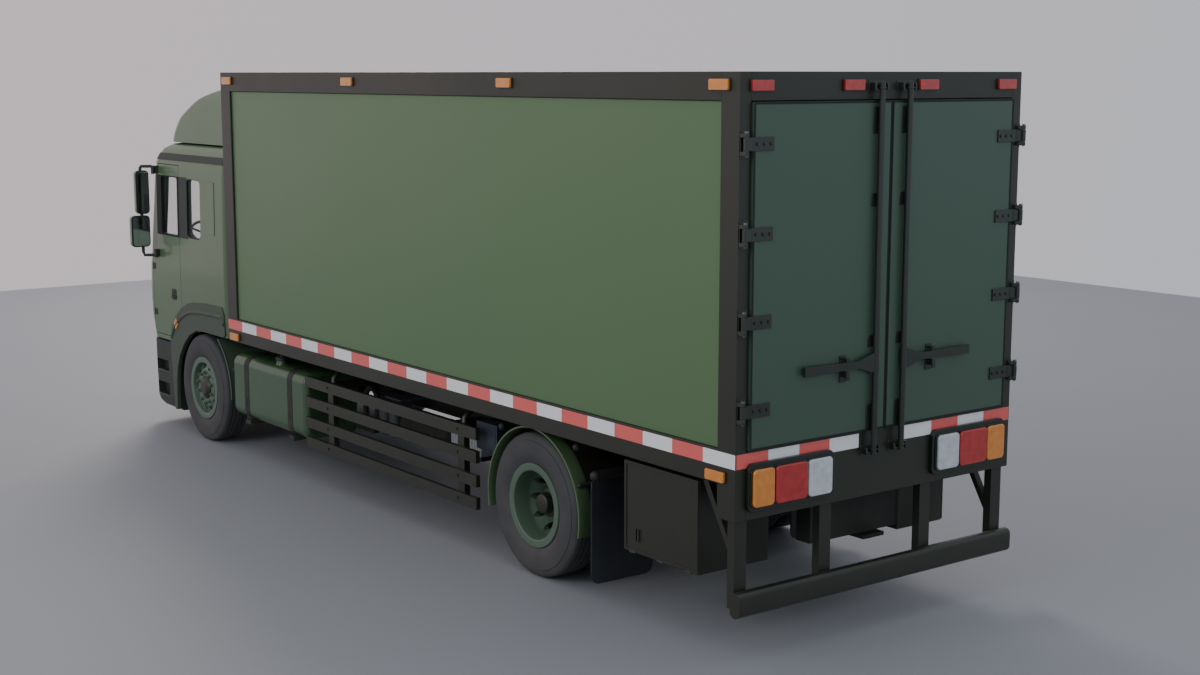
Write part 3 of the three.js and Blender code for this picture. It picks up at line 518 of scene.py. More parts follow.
BOX_LENGTH = 7.12
BAND = (1.211, 1.302)  # reflective tape along the foot of the box
TAPE = 0.0012
SIDE_STEP, REAR_STEP = BOX_LENGTH / 24, 0.2585
SIDE_TAPE = [((1.2501, 1.2501 + TAPE), (y + 0.0006, y + SIDE_STEP - 0.0006))
             for y in [-BOX_LENGTH + i * SIDE_STEP for i in range(24)]]
REAR_TAPE = [((x - 0.2580, x - 0.0005), (0.0001, 0.0001 + TAPE))
             for x in [1.242 - REAR_STEP * i for i in range(4)]]
for name, side in SIDES:
    for where, patches in (("side", SIDE_TAPE), ("rear", REAR_TAPE)):
        for first, look in enumerate(("tape_red", "tape_white")):
            form = Form(side)
            for x, y in patches[first::2]:
                form.slab(x, y, BAND)
            form.piece(f"{look}_{where}_{name}", "chassis", "lamp", look)

    # Marker lamps: a lens on a dark foot, along the roof rail, at the floor rail's ends and over the doors.
    lenses, feet = Form(side), Form(side)
    spots = [(y, 3.495) for y in (-6.96, -4.70, -2.44, -0.17)] + [(-6.97, 1.149), (-0.17, 1.149)]
    for y, z in spots:
        feet.prism("x", rounded((y - 0.092, y + 0.092), (z - 0.039, z + 0.039), 0.012), (1.2495, 1.256))
        lenses.prism("x", rounded((y - 0.086, y + 0.086), (z - 0.033, z + 0.033), 0.010), (1.256, 1.274))
    lenses.piece(f"side_markers_{name}", "chassis", "lamp", "amber", bevel=0.005)
    rear_lenses = Form(side)
    for x in (0.332, 1.087):
        feet.prism("y", rounded((x - 0.092, x + 0.092), (3.451, 3.529), 0.012), (-0.0005, 0.006))
        rear_lenses.prism("y", rounded((x - 0.086, x + 0.086), (3.457, 3.523), 0.010), (0.006, 0.024))
    rear_lenses.piece(f"rear_markers_{name}", "chassis", "lamp", "red", bevel=0.005)
    feet.piece(f"marker_feet_{name}", "chassis", "lamp", bevel=0.002)

    # Tail lamp: rounded housing with a rim, and amber, red and white lenses from the outside in.
    housing = Form(side).prism("y", rounded((0.452, 1.168), (0.938, 1.240), 0.045), (GAP, 0.030))
    for x in ((0.484, 0.690), (0.696, 0.966), (0.972, 1.146)):
        housing.prism("y", rounded((x[0] - 0.008, x[1] + 0.008), (0.962, 1.213), 0.03), (0.029, 0.037))
    housing.stands_for(f"tail_lamp_{name}", bevel=0.006)
    for look, x in (("white", (0.486, 0.688)), ("red", (0.698, 0.964)), ("amber", (0.974, 1.144))):
        glass = Form(side).prism("y", rounded(x, (0.970, 1.205), 0.028), (0.036, 0.058))
        glass.piece(f"tail_lens_{look}_{name}", "chassis", "lamp", look, bevel=0.009, steps=3)
    screws = Form(side)
    for x in (0.693, 0.969):
        for z in (0.985, 1.19):
            screws.rod((x, 0.036, z), (x, 0.043, z), 0.006, sides=8)
    screws.piece(f"tail_lamp_screws_{name}", "chassis", "lamp", "steel")


# ---- rear doors ----
KNUCKLE = [(1.170, 0.019), (1.226, 0.019), (1.232, 0.042), (1.180, 0.036)]
GUIDES = ((1.333, 1.488), (1.862, 1.925), (2.746, 2.817), (3.196, 3.354))
for name, side in SIDES:
    body = f"rear_door_{name}"
    panel = Form(side).prism("y", rounded((0.004, 1.156), (1.315, 3.395), 0.006, 2), (-0.040, 0.020))
    panel.stands_for(body, bevel=0.004)
    # Rubber seal that stands just proud round the leaf, and a cover strip beside the middle seam.
    seal = Form(side)
    for x, z in (((0.006, 1.154), (1.3165, 1.330)), ((0.006, 1.154), (3.380, 3.3935)),
                 ((1.142, 1.1545), (1.33, 3.38)), ((0.0055, 0.014), (1.33, 3.38))):
        seal.slab(x, (0.018, 0.0235), z)
    seal.piece(f"door_seal_{name}", body, "door_green", "seal", bevel=0.0015)
    strip = Form(side).slab((0.015, 0.083), (0.018, 0.0225), (1.33, 3.38))
    strip.piece(f"door_strip_{name}", body, "door_green", bevel=0.0015)

    hinges, bolts = Form(side), Form(side)
    for z in HINGE_Z:
        hinges.slab((1.000, 1.238), (0.019, 0.030), (z - 0.041, z + 0.041))
        hinges.prism("z", KNUCKLE, (z - 0.036, z + 0.036))
        hinges.rod((1.235, 0.045, z - 0.038), (1.235, 0.045, z + 0.038), 0.0148, sides=24)
        for x in (1.025, 1.080, 1.135):
            bolts.rod((x, 0.029, z), (x, 0.0375, z), 0.0105, sides=6)
    hinges.piece(f"door_hinges_{name}", body, "lock_black", bevel=0.003)
    bolts.piece(f"door_hinge_bolts_{name}", body, "lock_black", bevel=0.0015, steps=1)
    pins, plates = Form(side), Form(side)
    for z in HINGE_Z:
        pins.rod((1.235, 0.045, z - 0.070), (1.235, 0.045, z + 0.070), 0.0085, sides=16)
        pins.rod((1.235, 0.045, z + 0.068), (1.235, 0.045, z + 0.076), 0.0125, sides=16)
        plates.slab((1.176, 1.244), (-0.0005, 0.006), (z - 0.082, z + 0.082))
    pins.piece(f"door_hinge_pins_{name}", "chassis", "lock_black", "steel")
    plates.piece(f"door_hinge_plates_{name}", "chassis", "lock_black", bevel=0.002)

    # Guides hold the lock rod against the leaf; the long handle rests in a saddle with a drop latch.
    guides, saddle = Form(side), Form(side)
    for low, high in GUIDES:
        guides.slab((0.078, 0.172), (0.0195, 0.0255), (low - 0.006, high + 0.006))
        guides.prism("z", [(0.092, 0.024), (0.158, 0.024), (0.155, 0.064), (0.144, 0.077), (0.106, 0.077),
                           (0.095, 0.064)], (low + 0.004, high - 0.004))
    guides = guides.boolean([Form(side).rod((0.125, 0.050, 1.30), (0.125, 0.050, 3.40), 0.0205, sides=24)])
    guides.piece(f"rod_guides_{name}", body, "lock_black", bevel=0.003, steps=1, clean=True)
    saddle.slab((0.362, 0.418), (0.0195, 0.027), (1.655, 1.825))
    for z in ((1.690, 1.726), (1.796, 1.812)):
        saddle.slab((0.374, 0.406), (0.0255, 0.074), z)
    saddle.slab((0.374, 0.406), (0.066, 0.0745), (1.672, 1.728))
    saddle.piece(f"handle_saddle_{name}", body, "lock_black", bevel=0.003)
    dressed(f"lock_rod_{name}", 0.005, 3)
    caps = Form(side)
    for z in (1.200, 3.470):
        caps.rod((0.125, 0.050, z - 0.004), (0.125, 0.050, z + 0.004), 0.027, sides=24)
    caps.piece(f"lock_rod_collars_{name}", f"lock_rod_{name}", "lock_black", bevel=0.002)
dressed("rear_bumper", 0.008, 3)


# ---- chassis and running gear ----
for node, bevel in (("chassis_frame", 0.004), ("front_axle", 0.006), ("rear_axle", 0.008),
                    ("propshaft", 0.004), ("engine_and_gearbox", 0.025), ("toolbox_right", 0.004),
                    ("toolbox_left", 0.004), ("toolbox_door_right", 0.004)):
    dressed(node, bevel)
GUARD_BEND = ((1.135, 0.93), (1.128, 0.985), (1.085, 1.03), (1.02, 1.05), (0.90, 1.055))
for name, side in SIDES:
    dressed(f"knuckle_{name}", 0.006)
    dressed(f"side_guard_{name}", 0.010, 3)
    clips = Form(side)
    for y in (-5.29, -3.21):
        for z in (0.378, 0.552, 0.735, 0.912):
            clips.rod((1.1995, y, z), (1.207, y, z), 0.012, sides=6)
        clips.tube([(x, y, z) for x, z in GUARD_BEND], 0.022)
    clips.piece(f"guard_bolts_{name}", "chassis", "frame_green")

# Rear mudguards: rolled sheet with turned lips, on two ball-ended stays.
REAR_AXLE = middle("rim_rear_left")[1]
FRONT_AXLE = middle("rim_front_left")[1]
for name, side in SIDES:
    centre = (REAR_AXLE, AXLE_Z)
    band = [(1.086, 0.557), (1.086, 0.563), (1.110, 0.569), (1.176, 0.569), (1.190, 0.574), (1.200, 0.571),
            (1.200, 0.560), (1.190, 0.557)]
    Form(side).swept(band, centre, -12, 192, 60).stands_for(f"mudguard_{name}")
    # Inner part of the sheet in dark frame green: painted shade under the box body, not a separate liner; the
    # outer band keeps the mudguard's own colour.
    shaded_inner_sheet = Form(side).swept([(0.640, 0.556), (0.640, 0.572), (0.652, 0.562), (1.090, 0.562), (1.090, 0.556)],
                             centre, -12, 192, 60)
    shaded_inner_sheet.piece(f"mudguard_painted_shade_{name}", "chassis", "frame_green")
    stays = Form(side)
    for y in (REAR_AXLE - 0.521, REAR_AXLE + 0.521):
        stays.rod((0.431, y, 0.765), (1.160, y, 0.765), 0.018)
        stays.ball((1.160, y, 0.765), 0.019)
    for y, z in ((REAR_AXLE + 0.45, 1.02), (REAR_AXLE - 0.47, 1.01)):
        stays.rod((0.431, y, z), (1.13, y, z), 0.026)
        stays.ball((1.130, y, z), 0.031)
    stays.piece(f"mudguard_stays_{name}", "chassis", "chassis_black")

    # Mud flap: rubber sheet with a raised edge, hung from a tube with a round end.
    outline = rounded((0.660, 1.196), (0.110, 0.850), 0.07, 6)
    flap_form = Form(side).prism("y", outline, (-1.524, -1.514))
    for x, z in (((0.664, 0.676), (0.19, 0.83)), ((1.180, 1.192), (0.19, 0.83)),
                 ((0.74, 1.12), (0.113, 0.125))):
        flap_form.slab(x, (-1.526, -1.512), z)
    for x in (0.78, 0.93, 1.08):
        flap_form.slab((x - 0.003, x + 0.003), (-1.5255, -1.5125), (0.16, 0.74))
    flap_form.stands_for(f"mudflap_{name}", bevel=0.002)
    hanger = Form(side).rod((0.431, -1.519, 0.868), (1.160, -1.519, 0.868), 0.034)
    hanger.ball((1.160, -1.519, 0.868), 0.037)
    for x in (0.72, 0.93, 1.13):
        hanger.slab((x - 0.02, x + 0.02), (-1.5285, -1.5095), (0.80, 0.862))
    hanger.piece(f"mudflap_hanger_{name}", "chassis", "chassis_black", bevel=0.002)

    # Front mudguard behind the wheel, fixed to the frame so that the cab can tilt away from it.
    centre = (FRONT_AXLE, AXLE_Z)
    section = [(0.800, 0.638), (0.800, 0.646), (1.180, 0.646), (1.186, 0.654), (1.196, 0.652), (1.196, 0.636)]
    sheet = Form(side).swept(section, centre, -2, 55, 24)
    sheet.rod((0.431, FRONT_AXLE + 0.60, 0.78), (1.15, FRONT_AXLE + 0.60, 0.78), 0.016)
    sheet.piece(f"front_mudguard_{name}", "chassis", "cab_green", "guard_green", bevel=0.003, steps=1)

# Left locker door: raised border, pressed middle, sunk handle and hinges along the lower edge.
LOCKER_Y, LOCKER_Z, BORDER = (-1.148, -0.400), (0.455, 1.060), 0.022
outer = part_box("toolbox_door_left")[1].x
door = Form().slab((outer - 0.015, outer - 0.006), LOCKER_Y, LOCKER_Z)
door.slab((outer - 0.007, outer), (LOCKER_Y[0], LOCKER_Y[0] + BORDER), LOCKER_Z)
door.slab((outer - 0.007, outer), (LOCKER_Y[1] - BORDER, LOCKER_Y[1]), LOCKER_Z)
for z in ((LOCKER_Z[0], LOCKER_Z[0] + BORDER), (LOCKER_Z[1] - BORDER, LOCKER_Z[1])):
    door.slab((outer - 0.007, outer), (LOCKER_Y[0] + 0.021, LOCKER_Y[1] - 0.021), z)
door.stands_for("toolbox_door_left", bevel=0.003)
for name, x in (("left", outer), ("right", -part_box("toolbox_door_right")[0].x)):
    side = dict(SIDES)[name]
    catch = Form(side).prism("x", rounded((-1.045, -0.975), (0.525, 0.625), 0.012), (x - 0.008, x - 0.003))
    for y in (-1.024, -0.996):
        catch.slab((x - 0.004, x + 0.005), (y - 0.008, y + 0.008), (0.535, 0.615))
    for y in (-1.06, -0.774, -0.49):
        catch.rod((x - 0.004, y - 0.03, 0.452), (x - 0.004, y + 0.03, 0.452), 0.008, sides=14)
    catch.piece(f"toolbox_catch_{name}", f"toolbox_door_{name}", "lock_black", bevel=0.0015)

# Tow plate's bracket and the corner flange beside it.
tow = Form().slab((-0.40, -0.20), (-0.47, -0.33), (0.462, 0.4905))
tow.slab((-0.33, -0.27), (-0.43, -0.37), (0.445, 0.47))
tow.rod((-0.60, -0.41, 0.49), (-0.60, -0.41, 0.87), 0.022)
tow.prism("z", [(-0.73, -0.52), (-0.60, -0.52), (-0.60, -0.395), (-0.70, -0.41)], (0.52, 0.868))
tow.piece("tow_bracket", "chassis", "chassis_black", "dark_box", bevel=0.006)


# ---- cab ----
# Outline at rising heights: z, half width, front at the centreline, rear, front and rear corner radius.
CAB_LEVELS = (
    (0.885, 1.172, -9.290, -7.300, 0.200, 0.060),
    (1.150, 1.180, -9.3415, -7.300, 0.200, 0.060),
    (1.520, 1.180, -9.3465, -7.300, 0.200, 0.060),
    (1.700, 1.180, -9.310, -7.300, 0.200, 0.060),
    (2.600, 1.166, -9.165, -7.300, 0.190, 0.060),
    (2.720, 1.150, -9.120, -7.300, 0.190, 0.070),
    (2.820, 1.112, -9.030, -7.312, 0.180, 0.080),
    (2.868, 1.056, -8.900, -7.345, 0.170, 0.090),
    (2.885, 0.960, -8.760, -7.420, 0.150, 0.090),
)
CAB_BOW = 0.070


def plan_ring(level, inset=0.0, bow=CAB_BOW):
    """Horizontal outline with round corners and a bowed front, as a ring at its height."""
    z, half, front, rear, front_radius, rear_radius = level
    half, front, rear = half - inset, front + inset, rear - inset
    depth = rear - front
    rf = min(max(front_radius - inset, 0.02), depth / 2)
    rr = max(rear_radius - inset, 0.01)
    bow = min(bow, 0.3 * depth)
    left = [(half - rr + rr * math.cos(t), rear - rr + rr * math.sin(t))
            for t in [math.radians(90 - 90 * i / 4) for i in range(5)]]
    left += [(half - rf + rf * math.cos(t), front + bow + rf + rf * math.sin(t))
             for t in [math.radians(-90 * i / 10) for i in range(11)]]
    left += [((half - rf) * share, front + bow * share ** 2) for share in (0.8, 0.6, 0.4, 0.2)]
    right = [(-x, y) for x, y in reversed(left)]
    return [(x, y, z) for x, y in [*left, (0.0, front), *right]]


def level_at(z, levels=CAB_LEVELS):
    """The outline between two listed heights, on a smooth curve through them."""
    if z <= levels[0][0]:
        return (z, *levels[0][1:])
    k = next(i for i in range(1, len(levels)) if levels[i][0] >= z - 1e-9)
    t = (z - levels[k - 1][0]) / (levels[k][0] - levels[k - 1][0])
    p0, p1, p2, p3 = (levels[max(min(k + o, len(levels) - 1), 0)] for o in (-2, -1, 0, 1))
    smooth = [0.5 * (2 * b + (c - a) * t + (2 * a - 5 * b + 4 * c - d) * t * t
                     + (3 * b - a - 3 * c + d) * t ** 3) for a, b, c, d in zip(p0, p1, p2, p3)]
    return (z, *smooth[1:])


def heights_between(low, high, levels=CAB_LEVELS):
    """Heights for rings from low to high: every listed level and points between them."""
    listed = [level[0] for level in levels]
    steps = [(a, b, share) for a, b in zip(listed, listed[1:]) for share in (0, 1 / 3, 2 / 3)]
    fine = {round(a + (b - a) * share, 4) for a, b, share in steps} | {listed[-1]}
    return [low] + [z for z in sorted(fine) if low + 0.004 < z < high - 0.004] + [high]


def cab_skin(inset=0.0, low=CAB_LEVELS[0][0], high=CAB_LEVELS[-1][0]):
    return Form().skin([plan_ring(level_at(z), inset) for z in heights_between(low, high)])


def skin_patch(depths, x, y, z, side=1):
    """Part of the cab's outer skin between two depths, cut out by a box."""
    patch = cab_skin(depths[0], z[0] - 0.02, z[1] + 0.02)
    patch = patch.boolean([cab_skin(depths[1], z[0] - 0.03, z[1] + 0.03)])
    return patch.boolean([Form(side).slab(x, y, z)], "INTERSECT")


DOOR_OUTLINE = [(-9.060, 0.930), (-8.690, 0.930), (-8.617, 1.040), (-8.452, 1.200), (-8.363, 1.245),
                (-8.363, 2.670), (-8.905, 2.670), (-9.060, 1.750)]
WINDOW_Y, WINDOW_Z = (-8.900, -8.395), (1.970, 2.546)
QUARTER_Y = (-8.170, -7.860)
SCREEN_Z = (1.780, 2.600)
LID_Z = (1.020, 1.560)
TUNNEL = (0.430, 0.470, 1.440, 1.480)  # half width and top, inside and outside
WALL = 0.05
ROOM_Z = (1.220, 1.520, 1.700, 2.000, 2.300, 2.600, 2.720, 2.800, 2.835)
UNDER_Z = (0.800, 0.885, 1.150, 1.180)


def shrunk(outline, distance):
    """Outline with every edge moved inwards."""
    result = []
    for i, corner in enumerate(outline):
        before, after = outline[i - 1], outline[(i + 1) % len(outline)]
        into = Vector((corner[0] - before[0], corner[1] - before[1])).normalized()
        out = Vector((after[0] - corner[0], after[1] - corner[1])).normalized()
        normal = Vector((-into.y - out.y, into.x + out.x)).normalized()
        reach = distance / (-normal.x * into.y + normal.y * into.x)
        result.append((corner[0] + normal.x * reach, corner[1] + normal.y * reach))
    return result


def both(make):
    """The same cutter on both sides."""
    return [make(Form(1)), make(Form(-1))]


shell = cab_skin()
room = Form().skin([plan_ring(level_at(z), WALL) for z in ROOM_Z])
under = Form().skin([plan_ring(level_at(z), WALL) for z in UNDER_Z])
openings = both(lambda form: form.prism("x", DOOR_OUTLINE, (1.0, 1.3)))
openings += both(lambda form: form.prism("x", rounded(QUARTER_Y, WINDOW_Z, 0.05), (1.0, 1.3)))
openings.append(Form().prism("y", rounded((-1.0, 1.0), SCREEN_Z, 0.05), (-9.400, -8.950)))
shell = shell.boolean([room, under, *openings])  # one cut, so that the room is never a closed void
tunnel = Form().slab((-TUNNEL[1], TUNNEL[1]), (-9.280, -7.310), (1.190, TUNNEL[3]))
shell = shell.boolean([tunnel], "UNION")
arch = [(-8.560, 0.600), (-8.500, 0.700), (-8.438, 0.760), (-8.350, 0.905), (-8.230, 1.020),
        (-8.080, 1.078), (-7.200, 1.078), (-7.200, 0.600)]
cutters = [
    Form().slab((-TUNNEL[0], TUNNEL[0]), (-9.250, -7.200), (0.800, TUNNEL[2])),
    Form().prism("x", arch, (-1.3, 1.3)),
    Form().slab((-0.950, 0.950), (-9.400, -9.150), LID_Z),
]
shell.boolean(cutters).stands_for("cab_shell", sharp=32)

# Doors: a leaf of the same skin with a slot for the glass, its seal, handle, hinges and inner card.
HANDLE_BEND = ((1.180, -8.585), (1.193, -8.575), (1.197, -8.54), (1.193, -8.505), (1.180, -8.495))
ARCH_TOP = [
    (-8.660, 0.890), (-8.617, 1.030), (-8.540, 1.130), (-8.452, 1.200), (-8.360, 1.258), (-8.230, 1.310),
    (-8.092, 1.340), (-7.800, 1.362), (-7.409, 1.368), (-7.360, 1.300), (-7.342, 1.105),
]
ARCH_FOOT = [
    (-7.380, 1.080), (-7.892, 1.080), (-8.020, 1.066), (-8.183, 1.005), (-8.320, 0.900), (-8.438, 0.765),
    (-8.500, 0.640), (-8.530, 0.500), (-8.545, 0.200), (-8.600, 0.200), (-8.650, 0.700),
]
ARCH_LIP = ((1.190, 0.072), (1.207, 0.088), (1.207, 0.104), (1.190, 0.118))
for name, side in SIDES:
    body = f"cab_door_{name}"
    leaf = cab_skin(0.0, 0.90, 2.70).boolean([cab_skin(0.060, 0.88, 2.72)])
    leaf = leaf.boolean([Form(side).prism("x", shrunk(DOOR_OUTLINE, 0.006), (0.90, 1.30))], "INTERSECT")
    pane = Form(side).prism("x", rounded(WINDOW_Y, WINDOW_Z, 0.03), (1.0, 1.3))
    slot = Form(side).slab((1.138, 1.152), (-8.920, -8.379), (1.490, 2.562))
    leaf.boolean([pane, slot]).stands_for(body, sharp=32)
    trim = skin_patch((-0.004, 0.030), (1.0, 1.3), (-8.910, -8.372), (1.958, 2.557), side)
    trim = trim.boolean([Form(side).prism("x", rounded((-8.790, -8.400), (1.970, 2.546), 0.03), (0.9, 1.4))])
    trim.piece(f"window_seal_{name}", body, "trim_black", "seal")
    handle = Form(side).prism("x", rounded((-8.600, -8.480), (1.318, 1.428), 0.018), (1.172, 1.182))
    handle.tube([(x, y, 1.352) for x, y in HANDLE_BEND], 0.010)
    handle.rod((1.180, -8.54, 1.40), (1.188, -8.54, 1.40), 0.012)
    handle.piece(f"door_handle_{name}", body, "trim_black", bevel=0.002)
    hinges = Form(side)
    for z in (1.15, 1.62):
        hinges.slab((1.160, 1.184), (-9.045, -8.985), (z - 0.03, z + 0.03))
        hinges.rod((1.180, -9.046, z - 0.034), (1.180, -9.046, z + 0.034), 0.009, sides=14)
    hinges.piece(f"cab_door_hinges_{name}", body, "trim_black", bevel=0.003)
    card = skin_patch((0.062, 0.078), (0.9, 1.3), (-8.98, -8.43), (1.30, 1.93), side)
    card.piece(f"door_card_{name}", body, "trim_black", "lining")

    # Quarter window with its dark post, and the pressed panel behind it.
    quarter = skin_patch((0.008, 0.014), (1.0, 1.3), (-8.176, -7.854), (1.964, 2.552), side)
    quarter.piece(f"quarter_glass_{name}", "cab", "glass")
    post = skin_patch((-0.004, 0.03), (1.0, 1.3), (-8.356, -8.165), (1.958, 2.557), side)
    post.piece(f"window_post_{name}", "cab", "trim_black", bevel=0.002, steps=1, clean=True)
    gasket = skin_patch((0.004, 0.04), (1.0, 1.3), (-8.172, -7.859), (1.969, 2.547), side)
    hole = rounded((-8.165, -7.867), (1.977, 2.539), 0.05)
    gasket = gasket.boolean([Form(side).prism("x", hole, (0.9, 1.4))])
    gasket.piece(f"quarter_seal_{name}", "cab", "trim_black", "seal")
    press = skin_patch((-0.006, 0.02), (1.0, 1.3), (-7.70, -7.53), (2.04, 2.54), side)
    press.piece(f"vent_panel_{name}", "cab", "cab_green", bevel=0.005, clean=True)

    # Wheel-arch trim and the side repeater.
    flare = Form(side).prism("x", ARCH_TOP + ARCH_FOOT, (1.150, 1.192))
    flare.skin([[(x, y, z - drop) for x, drop in ARCH_LIP] for y, z in ARCH_TOP[1:-1]])
    flare.piece(f"arch_trim_{name}", "cab", "trim_black", "arch_green", bevel=0.004)
    lozenge = [(-8.536, 1.084), (-8.486, 1.144), (-8.436, 1.084), (-8.486, 1.024)]
    repeater = Form(side).prism("x", lozenge, (1.190, 1.204))
    repeater.piece(f"repeater_{name}", "cab", "lamp", "amber", bevel=0.004)

# Dark gutter strip round the roof edge, windscreen, seals and the roof deflector.
gutter = skin_patch((-0.008, 0.02), (-1.4, 1.4), (-9.05, -7.28), (2.712, 2.778))
gutter.piece("roof_gutter", "cab", "trim_black", clean=True)
screen_z = (SCREEN_Z[0] + 0.003, SCREEN_Z[1] - 0.003)
screen = skin_patch((0.006, 0.016), (-0.997, 0.997), (-9.40, -8.96), screen_z)
screen.stands_for("windscreen")
seal = skin_patch((-0.004, 0.03), (-1.045, 1.045), (-9.40, -8.94), (1.735, 2.645))
seal = seal.boolean([Form().prism("y", rounded((-0.965, 0.965), (1.815, 2.570), 0.06), (-9.5, -8.8))])
seal.piece("windscreen_seal", "cab", "trim_black", "seal")
visor = Form()
for x in range(-4, 5):
    visor.slab((0.225 * x - 0.112, 0.225 * x + 0.112), (-9.33 + 0.012 * abs(x), -9.18), (2.655, 2.672))
visor.piece("sun_visor", "cab", "trim_black", bevel=0.004)

DEFLECTOR = ((2.886, 1.060, -8.950), (3.000, 1.058, -8.890), (3.124, 1.048, -8.780), (3.220, 1.035, -8.600),
             (3.318, 1.010, -8.390), (3.400, 0.965, -8.030), (3.450, 0.890, -7.550))


def deflector_skin(rear, inset, drop):
    levels = [(z, half, front, rear, 0.20, 0.02) for z, half, front in DEFLECTOR]
    rings = []
    for z in heights_between(levels[0][0], levels[-1][0], levels):
        ring = plan_ring(level_at(z, levels), inset, 0.08)
        rings.append([(x, y, height - drop) for x, y, height in ring])
    return Form().skin(rings)


deflector = deflector_skin(-7.235, 0.0, 0.0).boolean([deflector_skin(-7.10, 0.03, 0.03)])
deflector = deflector.boolean([Form().slab((-0.95, 0.95), (-8.60, -7.10), (2.80, 2.96))])
deflector.stands_for("roof_deflector", sharp=35)

# Grille lid with slats, headlamps, bumper with its grille, steps and lower lamps.
lid = skin_patch((0.0, 0.03), (-0.946, 0.946), (-9.40, -9.16), (LID_Z[0] + 0.004, LID_Z[1] - 0.004))
SLOT_Z = (1.115, 1.215, 1.315, 1.415)
slots = [Form().prism("y", rounded((-0.78, 0.78), (z - 0.028, z + 0.028), 0.022), (-9.40, -9.10))
         for z in SLOT_Z]
lid.boolean(slots).stands_for("grille_lid", slot="cab_green", sharp=32)
slats = Form()
bow = [(0.80 * t, -9.317 + 0.055 * t * t) for t in [j / 8 for j in range(-8, 9)]]
blade = ((0.0, -0.010), (0.0, -0.002), (0.022, 0.020), (0.026, 0.012))
for slot_z in SLOT_Z:
    slats.skin([[(x, y + dy, slot_z + dz) for dy, dz in blade] for x, y in bow])
slats.skin([[(x, y + dy, z) for dy, z in ((0.027, 1.075), (0.027, 1.455), (0.032, 1.455), (0.032, 1.075))]
            for x, y in bow])
slats.piece("grille_slats", "grille_lid", "trim_black", "seal")

BUMPER = ((0.180, 1.120, -9.230, -8.550, 0.170, 0.010), (0.230, 1.160, -9.270, -8.550, 0.190, 0.010),
          (0.290, 1.172, -9.290, -8.550, 0.200, 0.010), (0.600, 1.175, -9.297, -8.550, 0.200, 0.010),
          (0.866, 1.176, -9.300, -8.550, 0.200, 0.010))
bumper = Form().skin([plan_ring(level) for level in BUMPER])
hollow = Form().skin([plan_ring((0.100, 1.172, -9.290, -8.350, 0.2, 0.01), 0.11),
                      plan_ring((1.000, 1.176, -9.300, -8.350, 0.2, 0.01), 0.11)])
cutters = [hollow, Form().prism("y", rounded((-0.62, 0.62), (0.38, 0.62), 0.04), (-9.40, -9.22))]
for z in ((0.540, 0.665), (0.290, 0.430)):
    cutters += both(lambda form: form.slab((1.090, 1.300), (-9.080, -8.770), z))
cutters += both(lambda form: form.prism("y", rounded((0.74, 1.02), (0.66, 0.80), 0.03), (-9.40, -9.19)))
bumper.boolean(cutters).stands_for("front_bumper", sharp=32)
mesh_bars = Form()
for z in (0.42, 0.46, 0.50, 0.54, 0.58):
    mesh_bars.slab((-0.61, 0.61), (-9.235, -9.212), (z - 0.007, z + 0.007))
for x in (-0.42, -0.21, 0.0, 0.21, 0.42):
    mesh_bars.slab((x - 0.012, x + 0.012), (-9.238, -9.222), (0.385, 0.615))
mesh_bars.piece("bumper_grille", "chassis", "trim_black", bevel=0.003)
for name, side in SIDES:
    treads = Form(side)
    for z in (0.540, 0.290):
        treads.slab((1.092, 1.168), (-9.075, -8.775), (z, z + 0.008))
        for y in range(8):
            treads.slab((1.096, 1.164), (-9.060 + 0.036 * y, -9.048 + 0.036 * y), (z + 0.007, z + 0.013))
    treads.piece(f"step_treads_{name}", "chassis", "trim_black", "steel", bevel=0.0015, steps=1)
    lamp = Form(side).prism("y", rounded((0.748, 1.012), (0.668, 0.792), 0.028), (-9.205, -9.150))
    lamp.piece(f"headlamp_{name}", "chassis", "lamp", "white", bevel=0.012, steps=3)
    ring = Form(side)
    for x in (0.815, 0.935):
        ring.rod((x, -9.216, 0.73), (x, -9.200, 0.73), 0.046, 0.050, sides=28)
    ring.piece(f"headlamp_bowls_{name}", "chassis", "lamp", "mirror_glass", bevel=0.004)


# ---- fuel tank, mirrors, cab interior and equipment ----
def bottle(form, start, end, profile, sides=40):
    """Round body between two points; the profile gives distance from the start and radius."""
    start, end = Vector(start), Vector(end)
    normal = (end - start).normalized()
    return form.skin([oval(start + normal * along, normal, radius, sides) for along, radius in profile])


def domed(length, radius, rise=0.05):
    """Profile of a pressed vessel with domed ends."""
    turns = [math.radians(a) for a in (4, 20, 40, 60, 80, 90)]
    ends = [(rise * (1 - math.cos(t)), radius * math.sin(t)) for t in turns]
    return ends + [(length - along, r) for along, r in reversed(ends)]


def tank_rings(spans, x, z, radius):
    """Rounded sections along y; each span is y and how far the section is drawn in there."""
    rings = []
    for y, inset in spans:
        corner = max(radius - inset, 0.02)
        outline = rounded((x[0] + inset, x[1] - inset), (z[0] + inset, z[1] - inset), corner, 10)
        rings.append([(a, y, b) for a, b in outline])
    return rings


TANK_X, TANK_Z, TANK_RADIUS = (0.650, 1.196), (0.372, 0.966), 0.10
TANK_MIDDLE = -6.450
ends = [(-7.190, 0.050), (-7.186, 0.032), (-7.174, 0.015), (-7.156, 0.004), (-7.140, 0.0)]
spans = ends + [(2 * TANK_MIDDLE - y, inset) for y, inset in reversed(ends)]
tank = Form().skin(tank_rings(spans, TANK_X, TANK_Z, TANK_RADIUS))
neck = [(0.0, 0.058), (0.014, 0.051), (0.036, 0.050), (0.0395, 0.048)]
bottle(tank, (1.090, -6.350, 0.955), (1.090, -6.350, 0.995), neck)
tank.stands_for("fuel_tank", look="tank_green", sharp=35)
straps = Form()
for y in (-6.885, -6.005):
    straps.skin(tank_rings([(y - 0.045, -0.0035), (y + 0.045, -0.0035)], TANK_X, TANK_Z, TANK_RADIUS))
    straps.slab((0.445, 0.660), (y - 0.045, y + 0.045), (0.640, 0.720))
    straps.slab((0.560, 0.655), (y - 0.045, y + 0.045), (0.420, 0.900))
    straps.rod((1.1985, y, 0.50), (1.1985, y, 0.58), 0.006, sides=12)
straps.piece("tank_straps", "chassis", "chassis_black", bevel=0.0012, steps=1, sharp=30)
cap = Form()
